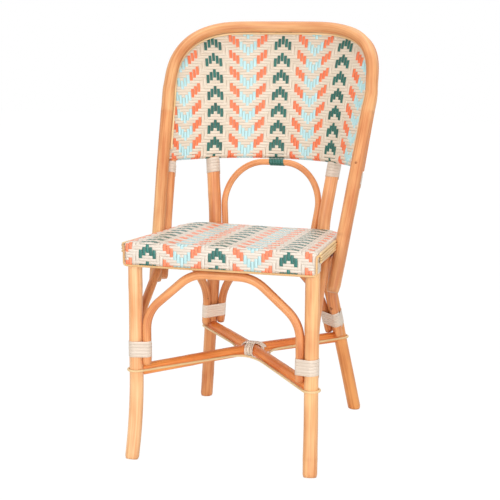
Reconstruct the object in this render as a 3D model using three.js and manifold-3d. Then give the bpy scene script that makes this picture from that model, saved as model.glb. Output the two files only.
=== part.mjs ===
// A rattan bistro chair: bent poles bound with flat cane, a barrel-shaped woven back
// and a woven seat. Millimetres, +Z up, the sitter faces -Y, +X is the sitter's left.
import * as THREE from "three";
import { mergeVertices } from "three/addons/utils/BufferGeometryUtils.js";
import Module from "manifold-3d";

// Driving dimensions

// Clearances: between pieces that touch, and how far a cutter runs past what it cuts.
const fit = 0.3;
const overrun = 60;
const weld = 0.0001;

// Poles, by diameter.
const hoopPole = 27;
const innerHoopPole = 27;
const frontLegPole = 28.8;
const rearLegPole = 28.6;
const archPole = 18;
const backArchPole = 14;
const stretcherPole = 24;
const seatBowPole = 24;
const frontRailPole = 26;
const lowerRailPole = 18;
const bottomRailPole = 20;
const cane = 5;

// Woven skins.
const weave = 3;

// Seat: plan outline, heights and skirts.
const seatFrontHalf = 202.5;
const seatRearHalf = 179;
const seatFront = -195;
const seatRear = 162;
const seatHeight = 456;
const seatFall = 13;
const seatRearCorner = 72;
const seatFrontCorner = 12;
const seatEdge = 9;
const apron = 48;
const skirt = 29;
const apronReturn = 34;

// Legs.
const frontLegY = -168;
const frontKneeHeight = 100;
const frontKneeBend = 70;
const frontFootOut = 4.5;
const frontFootForward = 21;
const rearFoot = { x: 182.5, y: 287 };
const rearWaist = { x: 121, y: 171 };
const waistDrop = 37;
const waistHeight = seatHeight - waistDrop;
const waistBend = 70;
const postTop = { x: 141.5, y: 198 };

// Back: a barrel whose radius opens with height, and the outline of its hoops.
const backRise = 142;
const backPanelHeight = 282;
const backBottom = seatHeight + backRise;
const backTop = backBottom + backPanelHeight;
const backCentreY = 233;
const backLean = 12.3;
const barrelRadius = 230;
const barrelOpening = 0.535;
const backLowArc = 271;
const backHalfArc = 261;
const backCornerArc = 165;
const backCornerRise = 140;
const backCornerShare = 0.8;
const bottomRailArch = 4;

// Outer hoop: where its straight sides end, outside the seat, and how far below its top.
const hoopEnd = { x: 194, y: -29 };
const hoopEndDrop = 112;

// Inner hoop: how far it turns inward from square behind the outer one, in degrees, low on the
// sides and at the top, and how far below the seat's top its legs end.
const innerTurnLow = 8;
const innerTurnTop = 18;
const innerEndDrop = 100;

// Canes that trim the woven back.
const coverWidth = 19;
const coverThick = 4;
const coverEdgeShare = 0.65;
const coverTail = 15;
const coverTurn = 18;

// Heights at each leg: the stretcher's end, the arches' ends, the binding and the cane ring.
const corners = {
  frontRight: { stretcher: 177, arch: 191, binding: 219, ring: 173 },
  frontLeft: { stretcher: 184, arch: 198, binding: 231, ring: 186 },
  rearRight: { stretcher: 183, arch: 198, binding: 227, ring: 184 },
  rearLeft: { stretcher: 190, arch: 204, binding: 229, ring: 187 },
};

// Arches below the seat: their bends, the heights of their knees, and their crowns.
const archKneeBend = 36;
const archCrownBend = 30;
const frontKneeLevel = 307.5;
const frontArchDrop = 63.3;
const frontCrownHalf = 64.5;
const sideFrontKnee = 294;
const sideRearKnee = 285;
const sideCrownFront = -15;
const sideCrownRear = 76;
const sideEndTurn = 12;
const rearKneeLevel = 281;
const rearCrownHalf = 28;

// Arch between the posts: how far its feet pass the waist, its springing above the seat, and its
// apex below the woven back.
const backArchTail = 5;
const backArchSpringRise = 32;
const backArchApexDrop = 17;
const backArchFlatHalf = 22;
const backArchSetback = 8;

// Crossed stretchers and the cane that frames them.
const crossingHeight = 189;
const caneCrossing = 184;
const frontCaneBend = 52;
const sideCaneBend = 76;
const caneSeamShare = 0.72;

// Flat binding strand, and the bindings' turns and places.
const strandWidth = 6.2;
const strandThick = 1.3;
const strandPitch = 6.8;
const leastTurnGap = 0.4;
const legWrapTurns = 5;
const postWrapTurns = 4;
const hoopWrapTurns = 4;
const upperWrapDrop = 16;
const archWrapTurns = 5;
const lashingTurns = 4;
const lashingWidth = 4.2;
const lashingPitch = 4.9;

// Counts of facets.
const poleSides = 12;
const thinSides = 8;
const caneSides = 6;
const bendSteps = 5;
const turnSteps = 16;

// Materials

const paint = (name, color, roughness) => {
  const material = new THREE.MeshStandardMaterial({ color, roughness, metalness: 0 });
  material.name = name;
  return material;
};
const rattan = paint("rattan", "#dc9455", 0.45);
const paleCane = paint("pale cane", "#e3bd7e", 0.5);
const creamStrand = paint("cream strand", "#e8d8c2", 0.55);
const greenStrand = paint("green strand", "#1f6657", 0.5);
const woven = paint("woven cream", "#e6dccb", 0.6);

// Solids

const wasm = await Module();
wasm.setup();

const point = (x, y, z) => new THREE.Vector3(x, y, z);
const radians = THREE.MathUtils.degToRad;
const mirrored = (points) => points.map((p) => point(-p.x, p.y, p.z));

// The part of a direction that is square to an axis.
const squareTo = (axis, direction) => direction.clone().addScaledVector(axis, -direction.dot(axis)).normalize();

// A closed geometry as a solid that can be cut.
function solidOf(geometry) {
  const bare = geometry.clone();
  bare.deleteAttribute("normal");
  bare.deleteAttribute("uv");
  const merged = mergeVertices(bare, weld);
  return new wasm.Manifold(
    new wasm.Mesh({
      numProp: 3,
      vertProperties: Float32Array.from(merged.attributes.position.array),
      triVerts: Uint32Array.from(merged.index.array),
    }),
  );
}

// A cut solid back as a geometry.
function geometryOf(solid) {
  const mesh = solid.getMesh();
  const geometry = new THREE.BufferGeometry();
  geometry.setAttribute("position", new THREE.BufferAttribute(mesh.vertProperties.slice(), 3));
  geometry.setIndex(new THREE.BufferAttribute(mesh.triVerts.slice(), 1));
  geometry.computeVertexNormals();
  return geometry;
}

function cut(geometry, ...cutters) {
  const solid = cutters.reduce((left, cutter) => left.subtract(solidOf(cutter)), solidOf(geometry));
  return geometryOf(largest(solid));
}

// The main body of a cut solid, without the crumbs beyond its neighbours.
function largest(solid) {
  return solid.decompose().reduce((best, one) => (one.volume() > best.volume() ? one : best));
}

// A path through given points, with one step to each, so bends get more steps than straights.
class Bend extends THREE.Curve {
  constructor(points) {
    super();
    this.points = points;
  }
  getPoint(t, target = new THREE.Vector3()) {
    const last = this.points.length - 1;
    const place = Math.min(Math.max(t, 0), 1) * last;
    const index = Math.min(Math.floor(place), last - 1);
    return target.copy(this.points[index]).lerp(this.points[index + 1], place - index);
  }
  getTangent(t, target = new THREE.Vector3()) {
    const last = this.points.length - 1;
    const index = Math.round(Math.min(Math.max(t, 0), 1) * last);
    const before = this.points[Math.max(index - 1, 0)];
    const here = this.points[index];
    const after = this.points[Math.min(index + 1, last)];
    const inward = here.clone().sub(before).normalize();
    const outward = after.clone().sub(here).normalize();
    return target.copy(inward).add(outward).normalize();
  }
  getUtoTmapping(u) {
    return u;
  }
}

// Points of a pole that is straight between its corners and bent round each of them.
function bentPoints(corners, setbacks, steps = bendSteps) {
  const points = [corners[0]];
  for (let i = 1; i < corners.length - 1; i += 1) {
    const corner = corners[i];
    const enter = corner.clone().sub(corners[i - 1]).setLength(setbacks[i - 1]);
    const leave = corners[i + 1].clone().sub(corner).setLength(setbacks[i - 1]);
    const bend = new THREE.QuadraticBezierCurve3(corner.clone().sub(enter), corner, corner.clone().add(leave));
    points.push(...bend.getPoints(steps));
  }
  points.push(corners[corners.length - 1]);
  return points;
}

function roundSection(diameter, sides) {
  const section = new THREE.Shape();
  for (let i = 0; i < sides; i += 1) {
    const turn = ((i + 0.5) / sides) * Math.PI * 2;
    const x = (Math.cos(turn) * diameter) / 2;
    const y = (Math.sin(turn) * diameter) / 2;
    if (i === 0) section.moveTo(x, y);
    else section.lineTo(x, y);
  }
  section.closePath();
  return section;
}

function sweep(section, points) {
  return new THREE.ExtrudeGeometry(section, {
    extrudePath: new Bend(points),
    steps: points.length - 1,
    curveSegments: 1,
  });
}

// A pole, and the same pole grown by the clearance, which cuts the seat for it in its neighbours.
const pole = (points, diameter, sides = poleSides) => sweep(roundSection(diameter, sides), points);
const grown = (points, diameter, sides = poleSides) => pole(points, diameter + 2 * fit, sides);

function block(x0, x1, y0, y1, z0, z1) {
  const box = new THREE.BoxGeometry(x1 - x0, y1 - y0, z1 - z0);
  box.translate((x0 + x1) / 2, (y0 + y1) / 2, (z0 + z1) / 2);
  return box;
}
const floorCut = block(-2 * seatFrontHalf, 2 * seatFrontHalf, 2 * seatFront, 2 * rearFoot.y, -2 * overrun, 0);

// Assembly

const chair = new THREE.Group();
const body = new THREE.Group();
chair.add(body);

function add(name, geometry, material) {
  const mesh = new THREE.Mesh(geometry, material);
  mesh.name = name;
  body.add(mesh);
  return mesh;
}

// Seat levels

const seatDepth = seatRear - seatFront;
const fallAt = (y) => (seatFall * (y - seatFront)) / seatDepth;
const seatTopAt = (y) => seatHeight - fallAt(y);
const seatHalfAt = (y) => seatFrontHalf + ((seatRearHalf - seatFrontHalf) * (y - seatFront)) / seatDepth;

// Legs

const frontLegX = seatFrontHalf - weave - fit - frontLegPole / 2;
const frontLegTop = seatTopAt(frontLegY + frontLegPole / 2) - weave - fit;

// Each foot's line runs on below the floor, and the floor cuts it flat.
const footOverrunShare = 0.3;
const frontFootLine = point(frontFootOut, -frontFootForward, -frontKneeHeight);
const frontKnee = point(frontLegX, frontLegY, frontKneeHeight);
const frontLegRight = bentPoints(
  [
    point(frontLegX, frontLegY, frontLegTop),
    frontKnee,
    frontKnee.clone().addScaledVector(frontFootLine, 1 + footOverrunShare),
  ],
  [frontKneeBend],
);

const rearWaistPoint = point(rearWaist.x, rearWaist.y, waistHeight);
const rearLine = rearWaistPoint.clone().sub(point(rearFoot.x, rearFoot.y, 0));
const rearLegRight = bentPoints(
  [
    point(rearFoot.x, rearFoot.y, 0).addScaledVector(rearLine, -footOverrunShare / 4),
    rearWaistPoint,
    point(postTop.x, postTop.y, backBottom),
  ],
  [waistBend],
);
// Where the rear leg's lower, straight part passes a height.
const rearLegAt = (z) => point(rearFoot.x, rearFoot.y, 0).addScaledVector(rearLine, z / waistHeight);

const frontLegLeft = () => mirrored(frontLegRight);
const rearLegLeft = () => mirrored(rearLegRight);
add("front_leg_right", cut(pole(frontLegRight, frontLegPole), floorCut), rattan);
add("front_leg_left", cut(pole(frontLegLeft(), frontLegPole), floorCut), rattan);
const frontLegCutters = [grown(frontLegRight, frontLegPole), grown(frontLegLeft(), frontLegPole)];
const rearLegCutters = [grown(rearLegRight, rearLegPole), grown(rearLegLeft(), rearLegPole)];
const legCutters = [...frontLegCutters, ...rearLegCutters];

// Back surface

// A point of the barrel at an arc length from its middle, a height, and a distance behind it.
function backPoint(arc, z, behind = 0) {
  const radius = barrelRadius + barrelOpening * (z - backBottom);
  const turn = arc / radius;
  const centre = backCentreY + Math.tan(radians(backLean)) * (z - backBottom) - radius;
  const reach = radius + behind;
  return point(Math.sin(turn) * reach, centre + Math.cos(turn) * reach, z);
}

// Where a point lies on the barrel, and how far ahead of it.
function onBarrel(p) {
  const radius = barrelRadius + barrelOpening * (p.z - backBottom);
  const centre = backCentreY + Math.tan(radians(backLean)) * (p.z - backBottom) - radius;
  const arc = Math.atan2(p.x, p.y - centre) * radius;
  return { arc, z: p.z, ahead: radius - Math.hypot(p.x, p.y - centre) };
}

// The back's outline over the top, from the right shoulder to the left one.
const cornerSteps = 7;
const topSteps = 4;
const cornerShare = (value) => value ** backCornerShare;
const backFlat = backHalfArc - backCornerArc;
const backShoulder = backTop - backCornerRise;
function backCorner(turn, inset) {
  return [
    backFlat + (backCornerArc - inset) * cornerShare(Math.cos(turn)),
    backShoulder + (backCornerRise - inset) * cornerShare(Math.sin(turn)),
  ];
}
function backOutline(inset = 0) {
  const right = [];
  for (let i = 0; i <= cornerSteps; i += 1) right.push(backCorner(((i / cornerSteps) * Math.PI) / 2, inset));
  const crown = [];
  for (let i = 1; i < topSteps; i += 1) crown.push([backFlat * (1 - (2 * i) / topSteps), backTop - inset]);
  const left = right.map(([arc, z]) => [-arc, z]).reverse();
  return [...right, ...crown, ...left];
}
// Distance from a path of straight steps to a point.
function distanceTo(path, p) {
  const near = point(0, 0, 0);
  const gaps = path.slice(1).map((end, i) => {
    new THREE.Line3(path[i], end).closestPointToPoint(p, true, near);
    return near.distanceTo(p);
  });
  return Math.min(...gaps);
}

// 0 up to the shoulders, 1 at the top.
const overTop = (z) => THREE.MathUtils.clamp((z - backShoulder) / backCornerRise, 0, 1);

// Hoops

const outerGap = hoopPole / 2 + weave / 2 + fit;

// The outer hoop edges the woven skin at the sides, rides in front of it over the top,
// and runs down outside the seat.
const outerCurve = backOutline().map(([arc, z]) => backPoint(arc, z, -outerGap * Math.sqrt(overTop(z))));
const hoopEndHeight = seatHeight - hoopEndDrop;
const outerEnd = point(hoopEnd.x, hoopEnd.y, hoopEndHeight);
const outerLine = (z) => outerEnd.clone().lerp(outerCurve[0], (z - hoopEndHeight) / (backShoulder - hoopEndHeight));
const outerHoopPath = [outerEnd, ...outerCurve, ...mirrored([outerEnd])];

// Frame of a path at one of its points: along it, square behind it, and square towards the middle.
function pathFrame(points, index) {
  const before = points[Math.max(index - 1, 0)];
  const after = points[Math.min(index + 1, points.length - 1)];
  const along = after.clone().sub(before).normalize();
  const behind = squareTo(along, point(0, 1, 0));
  const within = along.clone().cross(behind);
  return { along, behind, within };
}

// The inner hoop rides behind the outer one, and the skin passes in front of it.
const hoopStations = [outerLine(seatHeight - innerEndDrop), outerLine(backBottom), ...outerCurve];
const hoopRow = [...hoopStations, ...mirrored(hoopStations.slice(0, 2)).reverse()];
const innerHoopPath = hoopRow.map((station, i) => {
  const { behind, within } = pathFrame(hoopRow, i);
  const climb = THREE.MathUtils.clamp((station.z - backBottom) / (backTop - backBottom), 0, 1);
  const turn = radians(innerTurnLow + (innerTurnTop - innerTurnLow) * climb);
  const apart = (hoopPole + innerHoopPole) / 2 + fit + (station.z < backBottom ? 0 : weave + fit);
  return station.clone().addScaledVector(behind, apart * Math.cos(turn)).addScaledVector(within, apart * Math.sin(turn));
});
const innerSides = 10;

add("front_hoop", pole(outerHoopPath, hoopPole), rattan);
add("rear_hoop", pole(innerHoopPath, innerHoopPole, innerSides), rattan);
const hoopCutters = [grown(outerHoopPath, hoopPole), grown(innerHoopPath, innerHoopPole, innerSides)];

// Woven back

// Lays a box of steps over a mapping of its own shares, -1 to 1 each way.
function laid(across, along, through, place) {
  const box = new THREE.BoxGeometry(2, 2, 2, across, along, through);
  const position = box.attributes.position;
  for (let i = 0; i < position.count; i += 1) {
    const at = place(position.getX(i), position.getY(i), position.getZ(i));
    position.setXYZ(i, at.x, at.y, at.z);
  }
  box.computeVertexNormals();
  return box;
}

// The bottom rail follows the barrel, and the skin rolls round it.
const railSteps = 16;
const railHeight = (arc) => backBottom + bottomRailArch * (1 - (arc / backHalfArc) ** 2);
function railPath(reach) {
  const points = [];
  for (let i = 0; i <= railSteps; i += 1) {
    const arc = reach * ((2 * i) / railSteps - 1);
    points.push(backPoint(arc, railHeight(arc)));
  }
  return points;
}
const railLine = railPath(backLowArc);
const rollPole = bottomRailPole + 2 * (weave + fit);
const roll = pole(railLine, rollPole, innerSides);
const rollCutter = grown(railLine, rollPole, innerSides);

// The skin's rows climb straight to the shoulders and then follow the corners in.
const skinColumns = 18;
const skinStraightRows = 2;
const skinCornerRows = 6;
const skinMargin = innerHoopPole / 2;
function skinRow(share) {
  const row = ((share + 1) / 2) * (skinStraightRows + skinCornerRows);
  if (row <= skinStraightRows) {
    const climb = row / skinStraightRows;
    return [backLowArc + (backHalfArc - backLowArc) * climb, backBottom + (backShoulder - backBottom) * climb];
  }
  const [half, z] = backCorner((((row - skinStraightRows) / skinCornerRows) * Math.PI) / 2, 0);
  return [half, z + skinMargin * overTop(z)];
}
const skin = laid(skinColumns, skinStraightRows + skinCornerRows, 1, (u, v, w) => {
  const [half, z] = skinRow(v);
  const arc = half * u;
  const low = v === -1 ? railHeight(arc) : z;
  return backPoint(arc, low, (-w * weave) / 2);
});
const skinSolid = solidOf(skin).add(solidOf(roll)).subtract(solidOf(grown(railLine, bottomRailPole, thinSides)));
const skinCut = hoopCutters.reduce((left, cutter) => left.subtract(solidOf(cutter)), skinSolid);
add("back_panel_weave", geometryOf(largest(skinCut)), woven);
add("panel_bottom_rail", cut(pole(railLine, bottomRailPole, thinSides), ...hoopCutters), rattan);

// A half-round split cane runs down the back of the inner hoop.
const coverShare = (backBottom - coverTail - innerHoopPath[0].z) / (innerHoopPath[1].z - innerHoopPath[0].z);
const coverHead = innerHoopPath[0].clone().lerp(innerHoopPath[1], coverShare);
const coverRow = [coverHead, ...innerHoopPath.slice(2, -2), ...mirrored([coverHead])];
const coverSteps = coverRow.length - 1;
const coverCane = laid(4, 1, coverSteps, (u, v, w) => {
  const row = Math.round(((w + 1) / 2) * coverSteps);
  const { along, behind, within } = pathFrame(coverRow, row);
  const outward = behind.clone().applyAxisAngle(along, radians(-coverTurn));
  const sideways = within.clone().applyAxisAngle(along, radians(-coverTurn));
  const crown = coverThick * (1 - coverEdgeShare * u * u);
  const reach = innerHoopPole / 2 + fit + (v > 0 ? crown : 0);
  return coverRow[row].clone().addScaledVector(outward, reach).addScaledVector(sideways, (-u * coverWidth) / 2);
});
add("panel_cover_cane", coverCane, rattan);

// A thin round cane lies in the corner between the weave's front and the outer hoop.
const trimAhead = (weave + cane) / 2 + 7 * fit;
const trimReach = (hoopPole + cane) / 2 + fit;
const trimLow = outerLine(backBottom + rollPole / 2 + cane);
const trimStations = [trimLow, ...outerCurve, ...mirrored([trimLow])].map(onBarrel);
const trimPath = trimStations.map(({ arc, z }, i) => {
  const before = trimStations[Math.max(i - 1, 0)];
  const after = trimStations[Math.min(i + 1, trimStations.length - 1)];
  const run = Math.hypot(after.arc - before.arc, after.z - before.z);
  const insetBy = (inset) => {
    const arcInset = (inset * (before.z - after.z)) / run;
    const dropInset = (inset * (after.arc - before.arc)) / run;
    return backPoint(arc + arcInset, z + dropInset, -trimAhead);
  };
  let inset = cane;
  while (distanceTo(outerHoopPath, insetBy(inset)) < trimReach) inset += fit / 2;
  return insetBy(inset);
});
add("panel_trim_cane", pole(trimPath, cane, caneSides), paleCane);

// Seat

// The seat's plan, drawn in from its outline by an inset.
function seatCorners(inset) {
  return {
    frontX: seatHalfAt(seatFront) - inset,
    rearX: seatHalfAt(seatRear) - inset,
    front: seatFront + inset,
    rear: seatRear - inset,
    rearBend: seatRearCorner - inset / 2,
  };
}
// Right side and rear corner, from the front corner round to the middle of the rear edge.
function seatSide(inset, startY) {
  const { frontX, rearX, front, rear, rearBend } = seatCorners(inset);
  const slope = (rearX - frontX) / (rear - front);
  const start = point(frontX + slope * (startY - front), startY, 0);
  return bentPoints([start, point(rearX, rear, 0), point(0, rear, 0)], [rearBend]);
}
function seatPlan(inset, corner) {
  const { frontX, front } = seatCorners(inset);
  const side = seatSide(inset, front + corner);
  const shape = new THREE.Shape();
  shape.moveTo(corner - frontX, front);
  shape.lineTo(frontX - corner, front);
  shape.quadraticCurveTo(frontX, front, side[0].x, side[0].y);
  side.slice(1).forEach((p) => shape.lineTo(p.x, p.y));
  mirrored(side).reverse().slice(1).forEach((p) => shape.lineTo(p.x, p.y));
  shape.quadraticCurveTo(-frontX, front, corner - frontX, front);
  return shape;
}
// Tips a level geometry to the seat's fall.
function tipped(geometry) {
  const position = geometry.attributes.position;
  for (let i = 0; i < position.count; i += 1) {
    position.setZ(i, position.getZ(i) - fallAt(position.getY(i)));
  }
  return geometry;
}
function seatSlab(inset, corner, top, bottom, edge) {
  const slab = new THREE.ExtrudeGeometry(seatPlan(inset, corner), {
    depth: top - bottom - 2 * edge,
    bevelEnabled: true,
    bevelThickness: edge,
    bevelSize: edge,
    bevelOffset: -edge,
    bevelSegments: 2,
    curveSegments: 2,
  });
  slab.translate(0, 0, bottom + edge);
  return tipped(slab);
}
const wide = 2 * seatFrontHalf;
const seatSkin = cut(
  seatSlab(0, seatFrontCorner, seatHeight, seatHeight - apron - overrun, seatEdge),
  seatSlab(weave, seatFrontCorner - weave, seatHeight - weave, seatHeight - apron - 2 * overrun, seatEdge - weave),
  block(-wide, wide, 2 * seatFront, 2 * seatRear, seatHeight - apron - 4 * overrun, seatHeight - apron),
  tipped(block(-wide, wide, seatFront + apronReturn, 2 * seatRear, seatHeight - apron - 4 * overrun, seatHeight - skirt)),
  ...hoopCutters,
  ...legCutters,
);
add("seat_weave", seatSkin, woven);

// Rear legs, coped to the rolled edge of the woven back

add("rear_leg_right", cut(pole(rearLegRight, rearLegPole), floorCut, rollCutter), rattan);
add("rear_leg_left", cut(pole(rearLegLeft(), rearLegPole), floorCut, rollCutter), rattan);

// Seat frame

// One bent bow runs along both sides and round the back, under the skin.
const bowInset = weave + 2 * fit + seatBowPole / 2;
const bowDrop = weave + fit + seatBowPole / 2;
const bowPoint = (p) => point(p.x, p.y, seatTopAt(p.y) - bowDrop);
const bowSide = seatSide(bowInset, frontLegY + frontLegPole / 4).map(bowPoint);
const bowPath = [...bowSide, ...mirrored(bowSide).reverse().slice(1)];
add("seat_bow", cut(pole(bowPath, seatBowPole), ...legCutters, ...hoopCutters), rattan);

function crossRail(name, y, z, diameter) {
  const reach = frontLegX - frontLegPole / 4;
  const path = [point(-reach, y, z), point(reach, y, z)];
  add(name, cut(pole(path, diameter), ...frontLegCutters), rattan);
}
const frontRailY = seatFront + weave + fit + frontRailPole / 2;
const frontRailZ = seatTopAt(frontRailY + frontRailPole / 2) - weave - fit - frontRailPole / 2;
crossRail("seat_front_rail", frontRailY, frontRailZ, frontRailPole);
const lowerRailZ = seatHeight - frontArchDrop + archPole / 2 + fit + lowerRailPole / 2;
crossRail("seat_lower_rail", frontLegY, lowerRailZ, lowerRailPole);

// Round cane frames the apron and runs back along the sides as far as the outer hoop.
const apronCaneX = seatFrontHalf - seatEdge / 2 - cane / 2;
const apronCaneY = seatFront - cane / 2 - fit;
const apronCaneLow = seatHeight - apron + cane / 2;
const apronCaneHigh = seatHeight - seatEdge;
const apronCane = bentPoints(
  [
    point(-apronCaneX, apronCaneY, apronCaneHigh),
    point(-apronCaneX, apronCaneY, apronCaneLow),
    point(apronCaneX, apronCaneY, apronCaneLow),
    point(apronCaneX, apronCaneY, apronCaneHigh),
  ],
  [seatEdge, seatEdge],
  3,
);
add("apron_cane", pole(apronCane, cane, caneSides), paleCane);
function sideCane(side) {
  const reach = cane / 2 + fit;
  const at = (y) => point(side * (seatHalfAt(y) + reach), y, seatTopAt(y) - seatEdge - cane / 2);
  return cut(pole([at(seatFront + seatFrontCorner), at(outerLine(seatHeight).y)], cane, caneSides), ...hoopCutters);
}
add("side_cane_right", sideCane(1), paleCane);
add("side_cane_left", sideCane(-1), paleCane);

// Arches below the seat

const legToArch = (legPole) => legPole / 2 + archPole / 2 + fit;
const frontArchX = frontLegX - legToArch(frontLegPole);
const archBends = [archKneeBend, archCrownBend, archCrownBend, archKneeBend];
const between = (right, left) => bentPoints([...right, ...mirrored(left).reverse()], archBends);
const frontArchHalf = ({ arch }) => [
  point(frontArchX, frontLegY, arch),
  point(frontArchX, frontLegY, frontKneeLevel),
  point(frontCrownHalf, frontLegY, seatHeight - frontArchDrop),
];
const frontArch = between(frontArchHalf(corners.frontRight), frontArchHalf(corners.frontLeft));
add("front_arch", pole(frontArch, archPole), rattan);

// Beside a slanting rear leg an arch end lies square to the leg's own line.
const rearAxis = rearLine.clone().normalize();
const towardsMiddle = squareTo(rearAxis, point(-1, 0, 0));
const besideRearLeg = (z, direction) => rearLegAt(z).addScaledVector(direction, legToArch(rearLegPole));
const archDrop = bowDrop + seatBowPole / 2 + archPole / 2 + fit;
const rearArchHalf = ({ arch }) => [
  besideRearLeg(arch, towardsMiddle),
  besideRearLeg(rearKneeLevel, towardsMiddle),
  point(rearCrownHalf, seatRear - bowInset, seatTopAt(seatRear - bowInset) - archDrop),
];
add("rear_arch", pole(between(rearArchHalf(corners.rearRight), rearArchHalf(corners.rearLeft)), archPole), rattan);

const sideRun = point(rearFoot.x - frontLegX, rearFoot.y - frontLegY, 0).normalize();
const turnedOut = point(Math.sin(radians(sideEndTurn)), -Math.cos(radians(sideEndTurn)), 0);
const towardsFront = squareTo(rearAxis, turnedOut);
const sideCrown = (y) => point(seatHalfAt(y) - bowInset, y, seatTopAt(y) - archDrop);
const besideFrontLeg = (z) => point(frontLegX, frontLegY, z).addScaledVector(sideRun, legToArch(frontLegPole));
const sideArch = (front, rear) =>
  bentPoints(
    [
      besideFrontLeg(front.arch),
      besideFrontLeg(sideFrontKnee),
      sideCrown(sideCrownFront),
      sideCrown(sideCrownRear),
      besideRearLeg(sideRearKnee, towardsFront),
      besideRearLeg(rear.arch, towardsFront),
    ],
    archBends,
  );
function sideArches(name, points) {
  add(name, cut(pole(points, archPole), ...hoopCutters), rattan);
}
sideArches("side_arch_right", sideArch(corners.frontRight, corners.rearRight));
sideArches("side_arch_left", mirrored(sideArch(corners.frontLeft, corners.rearLeft)));

// Arch between the posts

const postLean = (postTop.y - rearWaist.y) / (backBottom - waistHeight);
const postSpread = (postTop.x - rearWaist.x) / (backBottom - waistHeight);
const postAt = (z) => point(rearWaist.x + postSpread * (z - waistHeight), rearWaist.y + postLean * (z - waistHeight), z);
const archToPost = Math.sqrt((rearLegPole / 2 + backArchPole / 2 + fit) ** 2 - backArchSetback ** 2);
const archPlane = (x, z) => point(x, postAt(z).y + backArchSetback, z);
const backArchSpring = seatHeight + backArchSpringRise;
const backArchApex = backBottom - backArchApexDrop;
const springX = postAt(backArchSpring).x - archToPost;
const archSteps = 7;
const backArchHalf = [
  archPlane(postAt(waistHeight).x - archToPost, waistHeight - backArchTail),
  archPlane(postAt(waistHeight).x - archToPost, waistHeight),
];
for (let i = 0; i <= archSteps; i += 1) {
  const turn = ((i / archSteps) * Math.PI) / 2;
  const x = backArchFlatHalf + (springX - backArchFlatHalf) * Math.cos(turn);
  backArchHalf.push(archPlane(x, backArchSpring + (backArchApex - backArchSpring) * Math.sin(turn)));
}
const backArch = [...backArchHalf, ...mirrored(backArchHalf).reverse()];
add("back_arch", pole(backArch, backArchPole, thinSides), rattan);

// Crossed stretchers

const legSeat = {
  frontRight: point(frontLegX, frontLegY, corners.frontRight.stretcher),
  frontLeft: point(-frontLegX, frontLegY, corners.frontLeft.stretcher),
  rearRight: rearLegAt(corners.rearRight.stretcher),
  rearLeft: mirrored([rearLegAt(corners.rearLeft.stretcher)])[0],
};
const crossShare = frontLegX / (frontLegX + legSeat.rearRight.x);
const crossing = legSeat.frontLeft.clone().lerp(legSeat.rearRight, crossShare).setX(0).setZ(crossingHeight);
const lowPath = [legSeat.frontLeft, crossing, legSeat.rearRight];
const highPath = [legSeat.frontRight, crossing, legSeat.rearLeft];
// Each stretcher keeps one half of its depth where the two cross.
function lapCutter(other, low, high) {
  const slab = block(-stretcherPole, stretcherPole, crossing.y - overrun, crossing.y + overrun, low, high);
  return geometryOf(solidOf(grown(other, stretcherPole)).intersect(solidOf(slab)));
}
const lapTop = lapCutter(highPath, crossing.z - fit / 2, crossing.z + stretcherPole);
const lapBottom = lapCutter(lowPath, crossing.z - stretcherPole, crossing.z + fit / 2);
add("stretcher_low", cut(pole(lowPath, stretcherPole), lapTop, ...legCutters), rattan);
add("stretcher_high", cut(pole(highPath, stretcherPole), lapBottom, ...legCutters), rattan);

// Cane round the legs and along the stretchers

const armReach = stretcherPole / 2 + cane / 2 + fit;
const frontRing = { pole: frontLegPole, slant: 1 };
const rearRing = { pole: rearLegPole, slant: rearAxis.z };
const frontLegAt = (z) => point(frontLegX, frontLegY, z);
const legRing = [
  { ...frontRing, at: mirrored([frontLegAt(corners.frontLeft.ring)])[0], bend: frontCaneBend },
  { ...frontRing, at: frontLegAt(corners.frontRight.ring), bend: sideCaneBend },
  { ...rearRing, at: rearLegAt(corners.rearRight.ring), bend: frontCaneBend },
  { ...rearRing, at: mirrored([rearLegAt(corners.rearLeft.ring)])[0], bend: sideCaneBend },
];
const flat = (p) => point(p.x, p.y, 0);
const armOf = (leg) => flat(leg.at).sub(flat(crossing)).normalize();
const ringSteps = 6;
function roundLeg(leg) {
  const arm = armOf(leg);
  const side = point(-arm.y, arm.x, 0);
  const reach = (leg.pole / 2 / leg.slant + cane / 2 + fit) / Math.cos(Math.PI / 2 / ringSteps);
  const points = [];
  for (let i = 0; i <= ringSteps; i += 1) {
    const turn = Math.PI * (i / ringSteps - 1 / 2);
    const out = arm.clone().multiplyScalar(Math.cos(turn)).addScaledVector(side, Math.sin(turn));
    points.push(leg.at.clone().addScaledVector(out, reach));
  }
  return points;
}
function waist(leg, next) {
  const armIn = armOf(leg);
  const armOut = armOf(next);
  const middle = armIn.clone().add(armOut).normalize();
  const half = Math.acos(armIn.dot(middle));
  const corner = flat(crossing).addScaledVector(middle, armReach / Math.sin(half)).setZ(caneCrossing);
  const leave = (arm, { at }) => {
    const share = leg.bend / flat(at).distanceTo(flat(crossing));
    return corner.clone().addScaledVector(arm, leg.bend).setZ(caneCrossing + (at.z - caneCrossing) * share);
  };
  const bend = new THREE.QuadraticBezierCurve3(leave(armIn, leg), corner, leave(armOut, next));
  return bend.getPoints(bendSteps + 1);
}
const loopPoints = legRing.flatMap((leg, i) => [...roundLeg(leg), ...waist(leg, legRing[(i + 1) % legRing.length])]);
// The loop starts and ends at a butt seam on the front of the first stretcher.
const seamFrom = loopPoints[ringSteps];
const seamTo = loopPoints[ringSteps + 1];
const seam = seamFrom.clone().lerp(seamTo, 1 - caneSeamShare);
const seamStep = seamTo.clone().sub(seamFrom).setLength(fit / 2);
const loopPath = [
  seam.clone().add(seamStep),
  ...loopPoints.slice(ringSteps + 1),
  ...loopPoints.slice(0, ringSteps + 1),
  seam.clone().sub(seamStep),
];
add("stretcher_cane", pole(loopPath, cane, caneSides), paleCane);

// Bindings

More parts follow.
